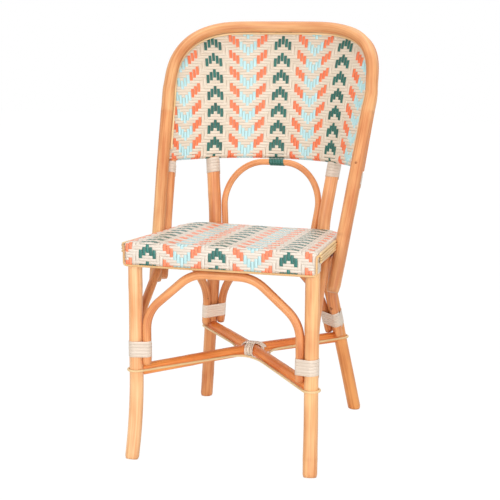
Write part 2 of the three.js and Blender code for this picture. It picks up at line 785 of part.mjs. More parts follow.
// Least distance between two turns of a strand, measured on points of its corner lines.
function leastGap(lines, perTurn) {
  const finer = 3;
  const shares = [...Array(finer).keys()].map((k) => k / finer);
  const dense = lines.map((line) => line.slice(0, -1).flatMap((p, i) => shares.map((t) => p.clone().lerp(line[i + 1], t))));
  const apart = Math.floor((perTurn * finer) / 2);
  let least = Infinity;
  for (const one of dense) {
    for (const other of dense) {
      for (let i = 0; i < one.length; i += 1) {
        for (let j = i + apart; j < other.length; j += 1) least = Math.min(least, one[i].distanceTo(other[j]));
      }
    }
  }
  return least;
}

// A flat strand laid over a mapping of the share of its length, and of -1 to 1 across and outward.
function wound(name, material, turns, place) {
  const steps = turns * turnSteps;
  add(name, laid(steps, 1, 1, (u, v, w) => place((u + 1) / 2, v, w)), material);
  const line = (across, outward) => [...Array(steps + 1).keys()].map((i) => place(i / steps, across, outward));
  const gap = leastGap([line(-1, -1), line(1, -1), line(-1, 1), line(1, 1)], turnSteps);
  console.log(`${name}: least gap between turns ${gap.toFixed(2)} mm, ${gap > leastTurnGap ? "clear" : "too small"}`);
}
const bulge = 1 / Math.cos(Math.PI / turnSteps);
const outwardStep = (outward) => fit + (strandThick * (outward + 1)) / 2;

// A strand wound round poles that lie side by side along one axis. Each pole is given by how
// far its line lies from the first one's, and by its diameter.
function binding(name, material, { centre, axis, poles, turns }) {
  const e1 = squareTo(axis, Math.abs(axis.z) > Math.abs(axis.x) ? point(1, 0, 0) : point(0, 1, 0));
  const e2 = axis.clone().cross(e1);
  wound(name, material, turns, (share, across, outward) => {
    const turn = share * turns * Math.PI * 2;
    const out = e1.clone().multiplyScalar(Math.cos(turn)).addScaledVector(e2, Math.sin(turn));
    const support = (each) => each.offset.dot(out) + each.diameter / 2;
    const held = poles.reduce((best, each) => (support(each) > support(best) ? each : best));
    const along = strandPitch * turns * (share - 1 / 2) + (across * strandWidth) / 2;
    const slack = poles.length > 1 ? fit : 0;
    const reach = (held.diameter / 2) * bulge + slack + outwardStep(outward);
    return centre.clone().add(held.offset).addScaledVector(out, reach).addScaledVector(axis, along);
  });
}
const flip = (p, side) => point(side * p.x, p.y, p.z);
const alone = (diameter) => [{ offset: point(0, 0, 0), diameter }];
const besides = (legPole, side, ...ways) => [
  ...alone(legPole),
  ...ways.map((way) => ({ offset: flip(way, side).multiplyScalar(legToArch(legPole)), diameter: archPole })),
];
const innerLegAxis = innerHoopPath[1].clone().sub(innerHoopPath[0]).normalize();
const postAxis = postAt(backBottom).sub(postAt(waistHeight)).normalize();
const hoopWrapAt = innerHoopPath[1].clone().addScaledVector(innerLegAxis, -rollPole / 2 - upperWrapDrop);
for (const [word, side, front, rear] of [
  ["right", 1, corners.frontRight, corners.rearRight],
  ["left", -1, corners.frontLeft, corners.rearLeft],
]) {
  binding(`front_leg_binding_${word}`, creamStrand, {
    centre: point(side * frontLegX, frontLegY, front.binding),
    axis: point(0, 0, 1),
    poles: besides(frontLegPole, side, point(-1, 0, 0), sideRun),
    turns: legWrapTurns,
  });
  binding(`rear_leg_binding_${word}`, creamStrand, {
    centre: flip(rearLegAt(rear.binding), side),
    axis: flip(rearAxis, side),
    poles: besides(rearLegPole, side, towardsMiddle, towardsFront),
    turns: legWrapTurns,
  });
  binding(`post_binding_${word}`, creamStrand, {
    centre: flip(postAt(backBottom - rollPole / 2 - upperWrapDrop), side),
    axis: flip(postAxis, side),
    poles: alone(rearLegPole),
    turns: postWrapTurns,
  });
  binding(`hoop_binding_${word}`, creamStrand, {
    centre: flip(hoopWrapAt, side),
    axis: flip(innerLegAxis, side),
    poles: alone(innerHoopPole),
    turns: hoopWrapTurns,
  });
}
binding("back_arch_binding", greenStrand, {
  centre: archPlane(0, backArchApex),
  axis: point(1, 0, 0),
  poles: alone(backArchPole),
  turns: archWrapTurns,
});

// The lashing goes round both stretchers where they cross, from the front notch to the rear one.
const armLean = Math.abs(legSeat.frontRight.x) / Math.abs(legSeat.frontRight.y - crossing.y);
const armWide = Math.hypot(1, armLean) / armLean;
wound("stretcher_lashing", creamStrand, lashingTurns, (share, across, outward) => {
  const turn = share * lashingTurns * Math.PI * 2 + Math.PI / turnSteps;
  const along = lashingPitch * lashingTurns * (share - 1 / 2) + (across * lashingWidth) / 2;
  const reach = (stretcherPole / 2) * bulge + 2 * fit + outwardStep(outward);
  const shift = Math.sign(Math.cos(turn)) * (Math.abs(along) / armLean);
  return point(along, crossing.y + shift + reach * armWide * Math.cos(turn), crossing.z + reach * Math.sin(turn));
});

// The chair stands centred on the origin.
const bounds = new THREE.Box3().setFromObject(chair);
body.position.set(-(bounds.min.x + bounds.max.x) / 2, -(bounds.min.y + bounds.max.y) / 2, -bounds.min.z);

export default chair;
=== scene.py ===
# %% [markdown]
# # A rattan bistro chair
#
# The chair is a frame of bent rattan poles, nailed side by side and bound with flat strand, with a
# woven back and a woven seat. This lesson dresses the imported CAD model: it keeps every piece where the
# model has it, and rebuilds it at the fineness that a close look needs. Lengths are written in
# millimetres, in the maker's own frame, and turned to metres when a piece is placed.

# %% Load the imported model
import itertools
import math

import bmesh
import bpy
import numpy as np
from mathutils import Matrix, Vector


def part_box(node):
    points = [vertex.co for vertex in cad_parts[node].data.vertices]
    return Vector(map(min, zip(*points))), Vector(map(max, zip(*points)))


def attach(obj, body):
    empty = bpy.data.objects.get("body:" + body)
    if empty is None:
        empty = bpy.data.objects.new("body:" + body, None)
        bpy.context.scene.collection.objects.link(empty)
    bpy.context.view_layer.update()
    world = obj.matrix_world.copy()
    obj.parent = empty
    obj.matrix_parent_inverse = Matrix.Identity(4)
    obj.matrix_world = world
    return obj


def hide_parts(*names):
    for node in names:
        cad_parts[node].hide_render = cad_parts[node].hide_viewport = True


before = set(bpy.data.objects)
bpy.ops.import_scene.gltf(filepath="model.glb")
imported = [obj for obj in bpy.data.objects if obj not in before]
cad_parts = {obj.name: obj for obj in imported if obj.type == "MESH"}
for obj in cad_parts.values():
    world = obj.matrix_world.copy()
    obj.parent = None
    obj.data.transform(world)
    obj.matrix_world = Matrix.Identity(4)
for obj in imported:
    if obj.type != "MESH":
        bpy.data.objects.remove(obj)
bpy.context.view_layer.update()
# In the maker's frame the seat's front edge is at -195 mm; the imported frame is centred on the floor.
SEAT_FRONT = -195
SHIFT_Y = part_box("seat_weave")[0].y * 1000 - SEAT_FRONT

# %% [markdown]
# ## A straight stick, bent into place
#
# A rattan worker starts with a straight pole, steams it and bends it round a form. A mesh can be made
# the same way. A circle is extruded to a straight stick, the stick is cut across its length, and then
# each of its points is moved to where the bend takes it. The place that a point had on the straight
# stick is kept as an attribute, so grain and growth rings run along the pole, whatever its bend.
# A curve with a bevel would give the tube too, but not a flat strand's section, and not that memory.

# %% Straight sticks
def mesh_of(name, bm):
    """A finished bmesh as a mesh."""
    mesh = bpy.data.meshes.new(name)
    bm.to_mesh(mesh)
    bm.free()
    return mesh


def straight_stick(sides, steps):
    """A closed stick of unit radius along Z from 0 to 1, with rings across its length."""
    bm = bmesh.new()
    bmesh.ops.create_circle(bm, cap_ends=True, radius=1, segments=sides)
    grown = bmesh.ops.extrude_face_region(bm, geom=bm.faces[:])
    top = [v for v in grown["geom"] if isinstance(v, bmesh.types.BMVert)]
    bmesh.ops.translate(bm, verts=top, vec=(0, 0, 1))
    upright = [e for e in bm.edges if abs(e.verts[0].co.z - e.verts[1].co.z) > 0.5]
    bmesh.ops.subdivide_edges(bm, edges=upright, cuts=steps - 1, use_grid_fill=False)
    bmesh.ops.recalc_face_normals(bm, faces=bm.faces[:])
    return mesh_of("stick", bm)


def points_of(mesh):
    flat = np.zeros(len(mesh.vertices) * 3)
    mesh.vertices.foreach_get("co", flat)
    return flat.reshape(-1, 3)


# %% Pieces of the chair
def added(name, data):
    """A new object in the scene."""
    thing = bpy.data.objects.new(name, data)
    bpy.context.scene.collection.objects.link(thing)
    return thing


def dressed(name, mesh, material, node=None):
    """A finished mesh as a smooth piece that rides on the chair, and may stand for a node of the model."""
    mesh.polygons.foreach_set("use_smooth", np.ones(len(mesh.polygons), bool))
    mesh.update()
    mesh.materials.append(material)
    thing = added(name, mesh)
    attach(thing, "root")
    if node:
        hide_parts(node)
    return thing


def piece(name, stick, bent, straight, material, node=None):
    """Copies of one stick, moved to their bent places, as one piece of the chair."""
    bm = bmesh.new()
    for _ in bent:
        bm.from_mesh(stick)
    mesh = mesh_of(name, bm)
    places = np.concatenate(bent) + (0, SHIFT_Y, 0)
    # Nothing reaches below the floor, so a leaning foot is cut flat there.
    places[:, 2] = np.maximum(places[:, 2], 0)
    mesh.vertices.foreach_set("co", (places / 1000).ravel())
    memory = mesh.attributes.new("straight", "FLOAT_VECTOR", "POINT")
    memory.data.foreach_set("vector", (np.concatenate(straight) / 1000).ravel())
    return dressed(name, mesh, material, node)


# %% Paths
def at(x, y, z):
    return np.array([x, y, z], float)


def mirror(points):
    return points * (-1, 1, 1)


def unit(vector):
    return vector / np.linalg.norm(vector)


def curve(start, corner, end, steps):
    """Points from a start to an end, drawn towards a corner."""
    return [start * (1 - t) ** 2 + 2 * corner * t * (1 - t) + end * t**2 for t in np.linspace(0, 1, steps)]


def bend(corners, setbacks, steps=14):
    """Straights between corners, with a rounded bend at each one."""
    points = [corners[0]]
    for before, corner, after, back in zip(corners, corners[1:], corners[2:], setbacks):
        points += curve(corner + unit(before - corner) * back, corner, corner + unit(after - corner) * back, steps)
    return np.array([*points, corners[-1]])


def distances(path):
    """How far along a path each of its points lies."""
    return np.concatenate([[0], np.cumsum(np.linalg.norm(np.diff(path, axis=0), axis=1))])


def spaced(points, count):
    """The same path with evenly spaced points."""
    run = distances(points)
    places = np.linspace(0, run[-1], count)
    return np.column_stack([np.interp(places, run, points[:, i]) for i in range(3)])


def smooth_path(points, count, passes=3):
    """Evenly spaced points with the corners between straight steps eased."""
    path = spaced(points, count)
    for _ in range(passes):
        path[1:-1] = (path[:-2] + 2 * path[1:-1] + path[2:]) / 4
    return path


# %% Directions along a path
def tangents(path):
    along = np.gradient(path, axis=0)
    return along / np.linalg.norm(along, axis=1)[:, None]


def frames(path):
    """Two directions square to a path and to each other, which don't twist along it."""
    along = tangents(path)
    side = np.zeros_like(along)
    side[0] = unit(np.cross(along[0], (0, 0, 1) if abs(along[0][2]) < 0.9 else (1, 0, 0)))
    for i in range(1, len(path)):
        side[i] = unit(side[i - 1] - along[i] * side[i - 1].dot(along[i]))
    return side, np.cross(along, side)


def square_to(axis, direction):
    """The part of a direction that is square to an axis, one unit long."""
    return unit(direction - axis * direction.dot(axis))


# %% [markdown]
# ## Materials
#
# Every finish here is a strand or a stick of a plant, or of plastic made to look like one, so their
# detail runs lengthwise. The shaders read the place on the straight stick, stretched along its length.
# Maths in a shader is easier to read as an expression, so a small class wraps a socket.

# %% Shader expressions
class Wire:
    """A socket that maths can be written with."""

    def __init__(self, tree, socket):
        self.tree, self.socket = tree, socket

    def _math(self, operation, other):
        return Graph(self.tree).node("ShaderNodeMath", {"operation": operation}, i0=self, i1=other)

    def __add__(self, other): return self._math("ADD", other)
    def __radd__(self, other): return self._math("ADD", other)
    def __mul__(self, other): return self._math("MULTIPLY", other)
    def __rmul__(self, other): return self._math("MULTIPLY", other)
    def __sub__(self, other): return self._math("SUBTRACT", other)
    def __rsub__(self, other): return (self * -1) + other
    def __or__(self, other): return self._math("MAXIMUM", other)


def plug(tree, slot, value):
    if isinstance(value, Wire):
        tree.links.new(value.socket, slot)
    else:
        slot.default_value = value


class Graph:
    """A node tree. Every node comes from one method; a socket is named, or numbered as i0, i1, ..."""

    def __init__(self, tree):
        self.tree = tree

    def node(self, kind, settings=None, out=0, **sockets):
        made = self.tree.nodes.new(kind)
        for key, value in (settings or {}).items():
            setattr(made, key, value)
        for key, value in sockets.items():
            slot = int(key[1:]) if key[1:].isdigit() else key.replace("_", " ")
            plug(self.tree, made.inputs[slot], value)
        return Wire(self.tree, made.outputs[out]) if made.outputs else made


# %% A material's parts
VECTOR, NUMBER = 1, 2


def srgb(r, g, b):
    """A colour as a picture shows it, turned to the linear values that a shader takes."""
    def linear(c):
        c /= 255
        return c / 12.92 if c <= 0.04045 else ((c + 0.055) / 1.055) ** 2.4
    return (linear(r), linear(g), linear(b), 1)


class Shader(Graph):
    """A material whose surface is the standard one."""

    def __init__(self, name):
        self.material = bpy.data.materials.new(name)
        self.material.use_nodes = True
        super().__init__(self.material.node_tree)
        self.surface = self.tree.nodes["Principled BSDF"]

    def kept(self, name, kind):
        """What the mesh keeps under a name, as a vector or a number."""
        return self.node("ShaderNodeAttribute", {"attribute_name": name}, kind)

    def stretched(self, across, along):
        """The place on the straight stick, with its own scale across and along."""
        place, scales = self.kept("straight", VECTOR), (across, across, along)
        return self.node("ShaderNodeVectorMath", {"operation": "MULTIPLY"}, i0=place, i1=scales)

    def noise(self, place, detail, scale=1.0):
        return self.node("ShaderNodeTexNoise", Vector=place, Scale=scale, Detail=detail)

    def ramp(self, value, low, high):
        """Goes from 0 to 1 while the value goes from low to high."""
        return self.node("ShaderNodeMapRange", Value=value, From_Min=low, From_Max=high)

    def mix(self, factor, first, second):
        """Mixes two colours, which are sockets 6 and 7 of the Mix node, and its output 2."""
        return self.node("ShaderNodeMix", {"data_type": "RGBA"}, 2, i0=factor, i6=first, i7=second)

    def toned(self, tone, light, dark):
        """Between two colours, each given as a picture shows it."""
        return self.mix(tone, srgb(*dark), srgb(*light))

    def bump(self, height, strength, distance):
        return self.node("ShaderNodeBump", Strength=strength, Distance=distance, Height=height)

    def finish(self, **inputs):
        for key, value in inputs.items():
            plug(self.tree, self.surface.inputs[key.replace("_", " ")], value)
        return self.material


# %% [markdown]
# ## Rattan and cane
#
# Peeled rattan is pale and straight-grained, and a varnish gives it an amber tone and a soft shine. One
# picture of the grain would repeat from pole to pole. Three noises of different fineness, stretched
# along the stick, don't: the finest also roughens the surface, and the growth rings get a darker scar.
# The poles of one chair differ in tone, so each group of poles has a light and a dark tone of its own.

# %% Varnished rattan
SCAR_BROWN = (176, 108, 62)
FOOT_LOW, FOOT_HIGH = 0.25, 0.45


def rattan(name, light, dark, ring=SCAR_BROWN, foot=None, deep=None):
    """Fibres, streaks, mottling and the scars of growth rings. Foot is a pair of tones for the lowest
    part of a pole, up to heights in metres; deep is a pair for lengths that the mesh marks as shaded."""
    s = Shader(name)
    fibre = s.noise(s.stretched(900, 11), 3.0)
    streak = s.noise(s.stretched(230, 4), 2.0)
    mottle = s.noise(s.stretched(36, 9), 2.0)
    scar = s.kept("scar", NUMBER)
    tone = s.ramp(fibre * 0.3 + streak * 0.4 + mottle * 0.5, 0.49, 0.71)
    wood = s.toned(tone, light, dark)
    if foot:
        height = s.node("ShaderNodeSeparateXYZ", out="Z", Vector=s.node("ShaderNodeTexCoord", out="Object"))
        wood = s.mix(s.ramp(height, FOOT_LOW, FOOT_HIGH), s.toned(tone, *foot), wood)
    if deep:
        wood = s.mix(s.kept("shade", NUMBER), wood, s.toned(tone, *deep))
    return s.finish(
        Base_Color=s.mix(scar * 0.42, wood, srgb(*ring)),
        Roughness=s.ramp(fibre, 0.2, 0.8) * 0.14 + 0.4,
        Normal=s.bump(fibre * 0.5 - scar * 0.25, 0.3, 0.0005),
        Coat_Weight=0.2,
        Coat_Roughness=0.27,
        Specular_IOR_Level=0.4,
    )


hoop_finish = rattan("hoop_rattan", (240, 190, 134), (207, 137, 84), deep=((229, 162, 105), (198, 116, 65)))
leg_finish = rattan("left_leg_rattan", (250, 202, 149), (228, 159, 104))
right_leg_finish = rattan("right_leg_rattan", (245, 192, 134), (216, 144, 90))
pole_finish = rattan("varnished_rattan", (244, 176, 116), (208, 126, 74))
post_feet = (240, 166, 96), (204, 118, 60)
right_post_finish = rattan("right_post_rattan", (254, 190, 132), (222, 146, 92), foot=post_feet)
stretcher_finish = rattan("stretcher_rattan", (251, 162, 84), (222, 116, 48))
arch_finish = rattan("arch_rattan", (239, 168, 108), (200, 116, 66))
cane_finish = rattan("pale_cane", (244, 214, 166), (220, 184, 128), (176, 140, 96))
edge_cane_finish = rattan("edge_cane", (224, 182, 126), (198, 150, 98), (168, 124, 82))
print("rattan and cane:", len(bpy.data.materials), "materials so far")


# %% [markdown]
# ## Strands
#
# The weave and the bindings are flat plastic strand, ribbed along its length so that it looks like
# cane. It is smoother than rattan and has a little more shine. The back and the seat catch the light
# differently, so each has its own set of the four colours.

# %% Strands
def strand(name, light, dark):
    """A flat plastic strand with fine ribs along it, and a soft sheen at a low angle."""
    s = Shader(name)
    fibre = s.noise(s.stretched(1100, 16), 2.0)
    blotch = s.noise(s.stretched(60, 22), 2.0)
    return s.finish(
        Base_Color=s.toned(s.ramp(fibre * 0.5 + blotch * 0.6, 0.35, 0.8), light, dark),
        Roughness=s.ramp(fibre, 0.2, 0.8) * 0.12 + 0.35,
        Normal=s.bump(fibre, 0.3, 0.0004),
        Coat_Weight=0.4,
        Coat_Roughness=0.3,
        Specular_IOR_Level=0.5,
    )


back_colours = {
    "green": strand("green_strand", (12, 113, 99), (2, 78, 68)),
    "cream": strand("cream_strand", (233, 221, 204), (219, 202, 180)),
    "orange": strand("orange_strand", (252, 138, 88), (238, 108, 62)),
    "blue": strand("blue_strand", (198, 236, 242), (174, 218, 222)),
}
seat_colours = {
    "green": strand("seat_green_strand", (32, 124, 112), (14, 88, 80)),
    "cream": strand("seat_cream_strand", (229, 218, 206), (215, 201, 185)),
    "orange": strand("seat_orange_strand", (250, 146, 102), (238, 118, 78)),
    "blue": strand("seat_blue_strand", (194, 227, 231), (170, 209, 211)),
}
wrap_cream = strand("binding_strand", (229, 214, 199), (213, 195, 176))
# A lighter copy of the binding strand: painted light for the bindings that lie in the seat's shade.
wrap_painted_light = strand("binding_strand_painted_light", (250, 236, 219), (236, 220, 202))
print("with the strands:", len(bpy.data.materials), "materials")

# %% [markdown]
# ## Camera, light and floor
#
# The photograph is a plain studio shot on white. The camera stands where a fit of the chair's known
# level and square lines puts it. Large soft lamps stand ahead on the left, low in front, on the right
# and above, and the white surroundings fill the rest.

# %% Camera
SENSOR, FOCAL_PIXELS, PICTURE_PIXELS = 36, 1258.7, 500
CAMERA_X, CAMERA_Y, CAMERA_Z = 736.66, -2510.9, 888.38
azimuth, down, roll = (math.radians(a) for a in (16.168, 10.228, 0.233))
ahead = Vector((-math.sin(azimuth) * math.cos(down), math.cos(azimuth) * math.cos(down), -math.sin(down)))
level = ahead.cross(Vector((0, 0, 1))).normalized()
upright = level.cross(ahead)
across = level * math.cos(roll) + upright * math.sin(roll)
upward = upright * math.cos(roll) - level * math.sin(roll)
camera = added("camera", bpy.data.cameras.new("camera"))
camera.data.lens = SENSOR * FOCAL_PIXELS / PICTURE_PIXELS
camera.data.sensor_width = SENSOR
turn = Matrix((across, upward, -ahead)).transposed().to_4x4()
camera.matrix_world = Matrix.Translation(Vector((CAMERA_X, CAMERA_Y + SHIFT_Y, CAMERA_Z)) / 1000) @ turn
bpy.context.scene.camera = camera
bpy.context.scene.view_settings.view_transform = "Standard"
print("camera lens", round(camera.data.lens, 1), "mm")


# %% Light
def lamp(name, place, target, size, power):
    light = bpy.data.lights.new(name, "AREA")
    light.size, light.energy = size, power
    facing = (Vector(target) - Vector(place)).to_track_quat("-Z", "Y").to_matrix().to_4x4()
    added(name, light).matrix_world = Matrix.Translation(place) @ facing


lamp("key", (-0.5, -3.1, 1.2), (0, 0, 0.45), 1.4, 23)
lamp("low", (0.4, -3.0, 0.35), (0, 0.1, 0.25), 1.2, 20)
lamp("fill", (2.4, -1.9, 1.1), (0, 0, 0.45), 1.6, 20)
lamp("top", (0.1, 0.1, 2.8), (0, 0, 0.4), 1.8, 25)
print(len(bpy.data.lights), "soft lamps")

# %% Surroundings
world = bpy.data.worlds.new("studio")
bpy.context.scene.world = world
world.use_nodes = True
world.node_tree.nodes.clear()
studio = Graph(world.node_tree)
seen = studio.node("ShaderNodeBackground", Color=(1, 1, 1, 1))
lit = studio.node("ShaderNodeBackground", Color=(1, 0.985, 0.965, 1), Strength=0.6)
looked_at = studio.node("ShaderNodeLightPath", out="Is Camera Ray")
mirrored = studio.node("ShaderNodeLightPath", out="Is Glossy Ray")
around = studio.node("ShaderNodeMixShader", i0=looked_at | mirrored, i1=lit, i2=seen)
studio.node("ShaderNodeOutputWorld", Surface=around)

# %% Floor
FLOOR_REACH = 9
bm = bmesh.new()
bmesh.ops.create_grid(bm, x_segments=1, y_segments=1, size=FLOOR_REACH)
floor = added("floor", mesh_of("floor", bm))
paper = Shader("white_paper")
paper.finish(Base_Color=(0.86, 0.86, 0.86, 1), Roughness=0.9, Specular_IOR_Level=0.0)
glow = paper.node("ShaderNodeEmission", Color=(1, 1, 1, 1), Strength=1.06)
bare = Wire(paper.tree, paper.surface.outputs[0])
looked_at = paper.node("ShaderNodeLightPath", out="Is Camera Ray")
blend = paper.node("ShaderNodeMixShader", i0=looked_at * 0.9, i1=bare, i2=glow)
plug(paper.tree, paper.tree.nodes["Material Output"].inputs[0], blend)
floor.data.materials.append(paper.material)
print("floor", 2 * FLOOR_REACH, "m wide")

# %% [markdown]
# ## Poles
#
# A rattan pole isn't a perfect tube. It swells a little at each growth ring, where a leaf once sat,
# and the ring leaves a thin, slanting scar. A bump map would show the scar, but not the swelling on the
# outline, so the stick's own radius follows the rings, and a "scar" attribute tells the shader of them.

# %% Sizes shared by the poles
HOOP, FRONT_LEG, REAR_LEG, ARCH, BACK_ARCH = 27, 28.8, 28.6, 18, 14
STRETCHER, BOW, FRONT_RAIL, LOWER_RAIL, CANE = 24, 24, 26, 18, 5
# Neighbours lie this far apart, and the woven skins are this thick.
FIT, WEAVE = 0.3, 3
SEAT_Z, SEAT_FALL, SEAT_REAR, FRONT_HALF, REAR_HALF = 456, 13, 162, 202.5, 179
SEAT_DEPTH = SEAT_REAR - SEAT_FRONT
# The woven back runs from BACK_Z to BACK_TOP, and its upper corners begin at the shoulder.
BACK_Z, BACK_TOP, CORNER_RISE = 598, 880, 140
SHOULDER = BACK_TOP - CORNER_RISE


def seat_top(y):
    return SEAT_Z - SEAT_FALL * (y - SEAT_FRONT) / SEAT_DEPTH


def seat_half(y):
    return FRONT_HALF + (REAR_HALF - FRONT_HALF) * (y - SEAT_FRONT) / SEAT_DEPTH


print("seat", SEAT_DEPTH, "mm deep, from", SEAT_Z, "down to", seat_top(SEAT_REAR), "mm")


# %% Growth rings
# Shares of the diameter by which a ring stands out and is grooved, and how far it slants, in mm.
RING_SWELL, RING_GROOVE, RING_SLANT = 0.014, 0.005, 1.2
WRONG_SIDE = 1e4


def near(path, side, z):
    """How far along a path its place at a height lies, on the right (1), the left (-1) or either (0)."""
    run = distances(path)
    fine = np.linspace(0, run[-1], 2000)
    x, height = np.interp(fine, run, path[:, 0]), np.interp(fine, run, path[:, 2])
    return fine[np.argmin(np.abs(height - z) + WRONG_SIDE * (x * side < 0))]


def rings_of(path, *heights):
    return [near(path, 0, z) for z in heights]


def over_top(z):
    """From 0 at the shoulders of the back to 1 at its top."""
    return np.clip((z - SHOULDER) / CORNER_RISE, 0, 1)


# %% A bent pole
def pole(
    name, path, diameter, material, node=None, rings=(), seed=1.0,
    slot="rattan", sides=24, gap=6.0, slim=0.0, shave=None, shades=(),
):
    """A round stick bent along a path, with growth rings at the given distances from its start.

    Its points lie a gap apart. A slim one narrows over the top of the back, by that share of its
    radius. Shave is a function that cuts the bent points back. Shades are pairs of a distance and of
    how much the deep tones show there, from 0 to 1."""
    length = distances(path)[-1]
    steps = max(8, int(length / gap))
    bent_path = spaced(path, steps + 1)
    side, up = frames(bent_path)
    stick = straight_stick(sides, steps)
    straight = points_of(stick)
    ring = np.rint(straight[:, 2] * steps).astype(int)
    run = straight[:, 2] * length
    angle = np.arctan2(straight[:, 1], straight[:, 0])
    radius = np.full(len(straight), diameter / 2)
    # It swells slowly and less slowly along its length, and differently on each side.
    radius *= 1 + 0.012 * np.sin(run / 61 + seed) + 0.008 * np.sin(run / 23 + 2 * seed + angle)
    radius *= 1 - slim * over_top(bent_path[ring][:, 2])
    scar = np.zeros(len(straight))
    for number, place in enumerate(rings):
        off = run - place - RING_SLANT * np.cos(angle + number)
        swell, groove = np.exp(-((off / 10) ** 2)), np.exp(-((off / 2.2) ** 2))
        radius += diameter * RING_SWELL * swell - diameter * RING_GROOVE * groove
        scar = np.maximum(scar, np.exp(-((off / 2.0) ** 2)) * (0.6 + 0.4 * np.sin(3 * angle + number)))
    # The rim of each cut end is broken.
    radius -= diameter * 0.05 * (np.minimum(ring, steps - ring) == 0)
    offset = side[ring] * np.cos(angle)[:, None] + up[ring] * np.sin(angle)[:, None]
    bent = bent_path[ring] + offset * radius[:, None]
    if shave:
        bent = shave(bent)
    # The seed moves the pattern sideways, so that no two poles have the same grain.
    memory = np.column_stack([np.cos(angle) * diameter / 2 + 37 * seed, np.sin(angle) * diameter / 2, run])
    made = piece(name, stick, [bent], [memory], material, node)
    marks = {"scar": scar, **({"shade": np.interp(run, *zip(*shades))} if shades else {})}
    for word, values in marks.items():
        made.data.attributes.new(word, "FLOAT", "POINT").data.foreach_set("value", values)
    print(name, round(length), "mm long,", len(made.data.polygons), "faces")


# %% [markdown]
# ## Legs
#
# The front legs are straight and kick forward at the foot. Each rear leg is one long pole: it splays
# out below, is bent at the seat, and runs on as a post of the back. Both are drawn as a few corners
# with a rounded bend, which is how a bending form is laid out.

# %% Legs
FRONT_X = FRONT_HALF - WEAVE - FIT - FRONT_LEG / 2
FRONT_Y, KNEE_Z, LEG_BEND = -168, 100, 70
WAIST_Z = SEAT_Z - 37
POST_LEAN = 4.5
foot, waist_point, post_top = at(182.5, 287, 0), at(121, 171, WAIST_Z), at(141.5, 198, BACK_Z)


def rear_leg_at(z):
    return foot + (waist_point - foot) * z / WAIST_Z


def post_at(z):
    return waist_point + (post_top - waist_point) * (z - WAIST_Z) / (BACK_Z - WAIST_Z)


def leaning(points):
    """Both posts, and the arch between them, lean a little to the right above the seat."""
    climb = np.clip((points[..., 2] - WAIST_Z) / (BACK_Z - WAIST_Z), 0, 1)
    return points + climb[..., None] * (POST_LEAN, 0, 0)


front_knee = at(FRONT_X, FRONT_Y, KNEE_Z)
leg_top = at(FRONT_X, FRONT_Y, seat_top(FRONT_Y + FRONT_LEG / 2) - WEAVE - FIT)
front_leg = bend([leg_top, front_knee, front_knee + at(4.5, -21, -KNEE_Z)], [LEG_BEND])
rear_leg = bend([foot, waist_point, post_top - at(0, 0, 9)], [LEG_BEND])
left_leg = mirror(front_leg)
right_post, left_post = leaning(rear_leg), leaning(mirror(rear_leg))
for name, path, width, finish, node, rings, seed in [
    ("leg_front_right", front_leg, FRONT_LEG, right_leg_finish, "front_leg_right", rings_of(front_leg, 297, 38), 0.4),
    ("leg_front_left", left_leg, FRONT_LEG, leg_finish, "front_leg_left", rings_of(left_leg, 365), 1.9),
    ("leg_rear_right", right_post, REAR_LEG, right_post_finish, "rear_leg_right", rings_of(rear_leg, 352), 2.6),
    ("leg_rear_left", left_post, REAR_LEG, pole_finish, "rear_leg_left", rings_of(rear_leg, 505, 60), 3.3),
]:
    pole(name, path, width, finish, node, rings, seed)

# %% [markdown]
# ## The barrel of the back
#
# The back's skin lies on a barrel that opens and leans back with height. A place on it is given by an
# arc length from the middle, a height, and a distance behind the skin. Both hoops, the bottom rail,
# the canes and every woven strand are laid out with it.

# %% Barrel
LOW_ARC, HALF_ARC, CORNER_ARC = 271, 261, 165
FLAT_ARC = HALF_ARC - CORNER_ARC
LOW_RADIUS, OPENING, LOW_Y, LEAN = 230, 0.535, 233, math.tan(math.radians(12.3))
# Below 1, this makes the upper corners squarer than a quarter of an ellipse.
SQUARENESS = 0.8


def circle_at(z):
    """Radius of the barrel at a height, and how far back its middle is."""
    radius = LOW_RADIUS + OPENING * (z - BACK_Z)
    return radius, LOW_Y + LEAN * (z - BACK_Z) - radius


def barrel(arc, z, behind):
    """A place on the woven back; arc, z and behind may be arrays."""
    arc, z, behind = np.broadcast_arrays(np.asarray(arc, float), z, behind)
    radius, centre = circle_at(z)
    turned = arc / radius
    return np.stack([np.sin(turned) * (radius + behind), centre + np.cos(turned) * (radius + behind), z], -1)


def outline(steps=22, inset=0.0):
    """Arcs and heights from the right shoulder over the top to the left one."""
    turn = np.linspace(0, math.pi / 2, steps)
    arc = FLAT_ARC + (CORNER_ARC - inset) * np.abs(np.cos(turn)) ** SQUARENESS
    rise = SHOULDER + (CORNER_RISE - inset) * np.sin(turn) ** SQUARENESS
    crown = np.linspace(FLAT_ARC, -FLAT_ARC, 12)[1:-1]
    arcs = np.concatenate([arc, crown, -arc[::-1]])
    rises = np.concatenate([rise, np.full(len(crown), BACK_TOP - inset), rise[::-1]])
    return arcs, rises


print("barrel radius", circle_at(BACK_Z)[0], "to", round(circle_at(BACK_TOP)[0]), "mm")

# %% Paths of the hoops
arcs, rises = outline()
outer_curve = barrel(arcs, rises, -(HOOP / 2 + WEAVE / 2 + FIT) * np.sqrt(over_top(rises)))
hoop_end = at(194, -29, 344)


def outer_line(z):
    """The straight part of the outer hoop, from its foot beside the seat up to the shoulder."""
    return hoop_end + (outer_curve[0] - hoop_end) * (z - hoop_end[2]) / (SHOULDER - hoop_end[2])


def around_hoop(stations):
    """Directions along a row of places on a hoop, behind it, and towards the middle of the back."""
    along = tangents(stations)
    behind = np.array([0, 1, 0]) - along * along[:, 1:2]
    behind /= np.linalg.norm(behind, axis=1)[:, None]
    return along, behind, np.cross(along, behind)


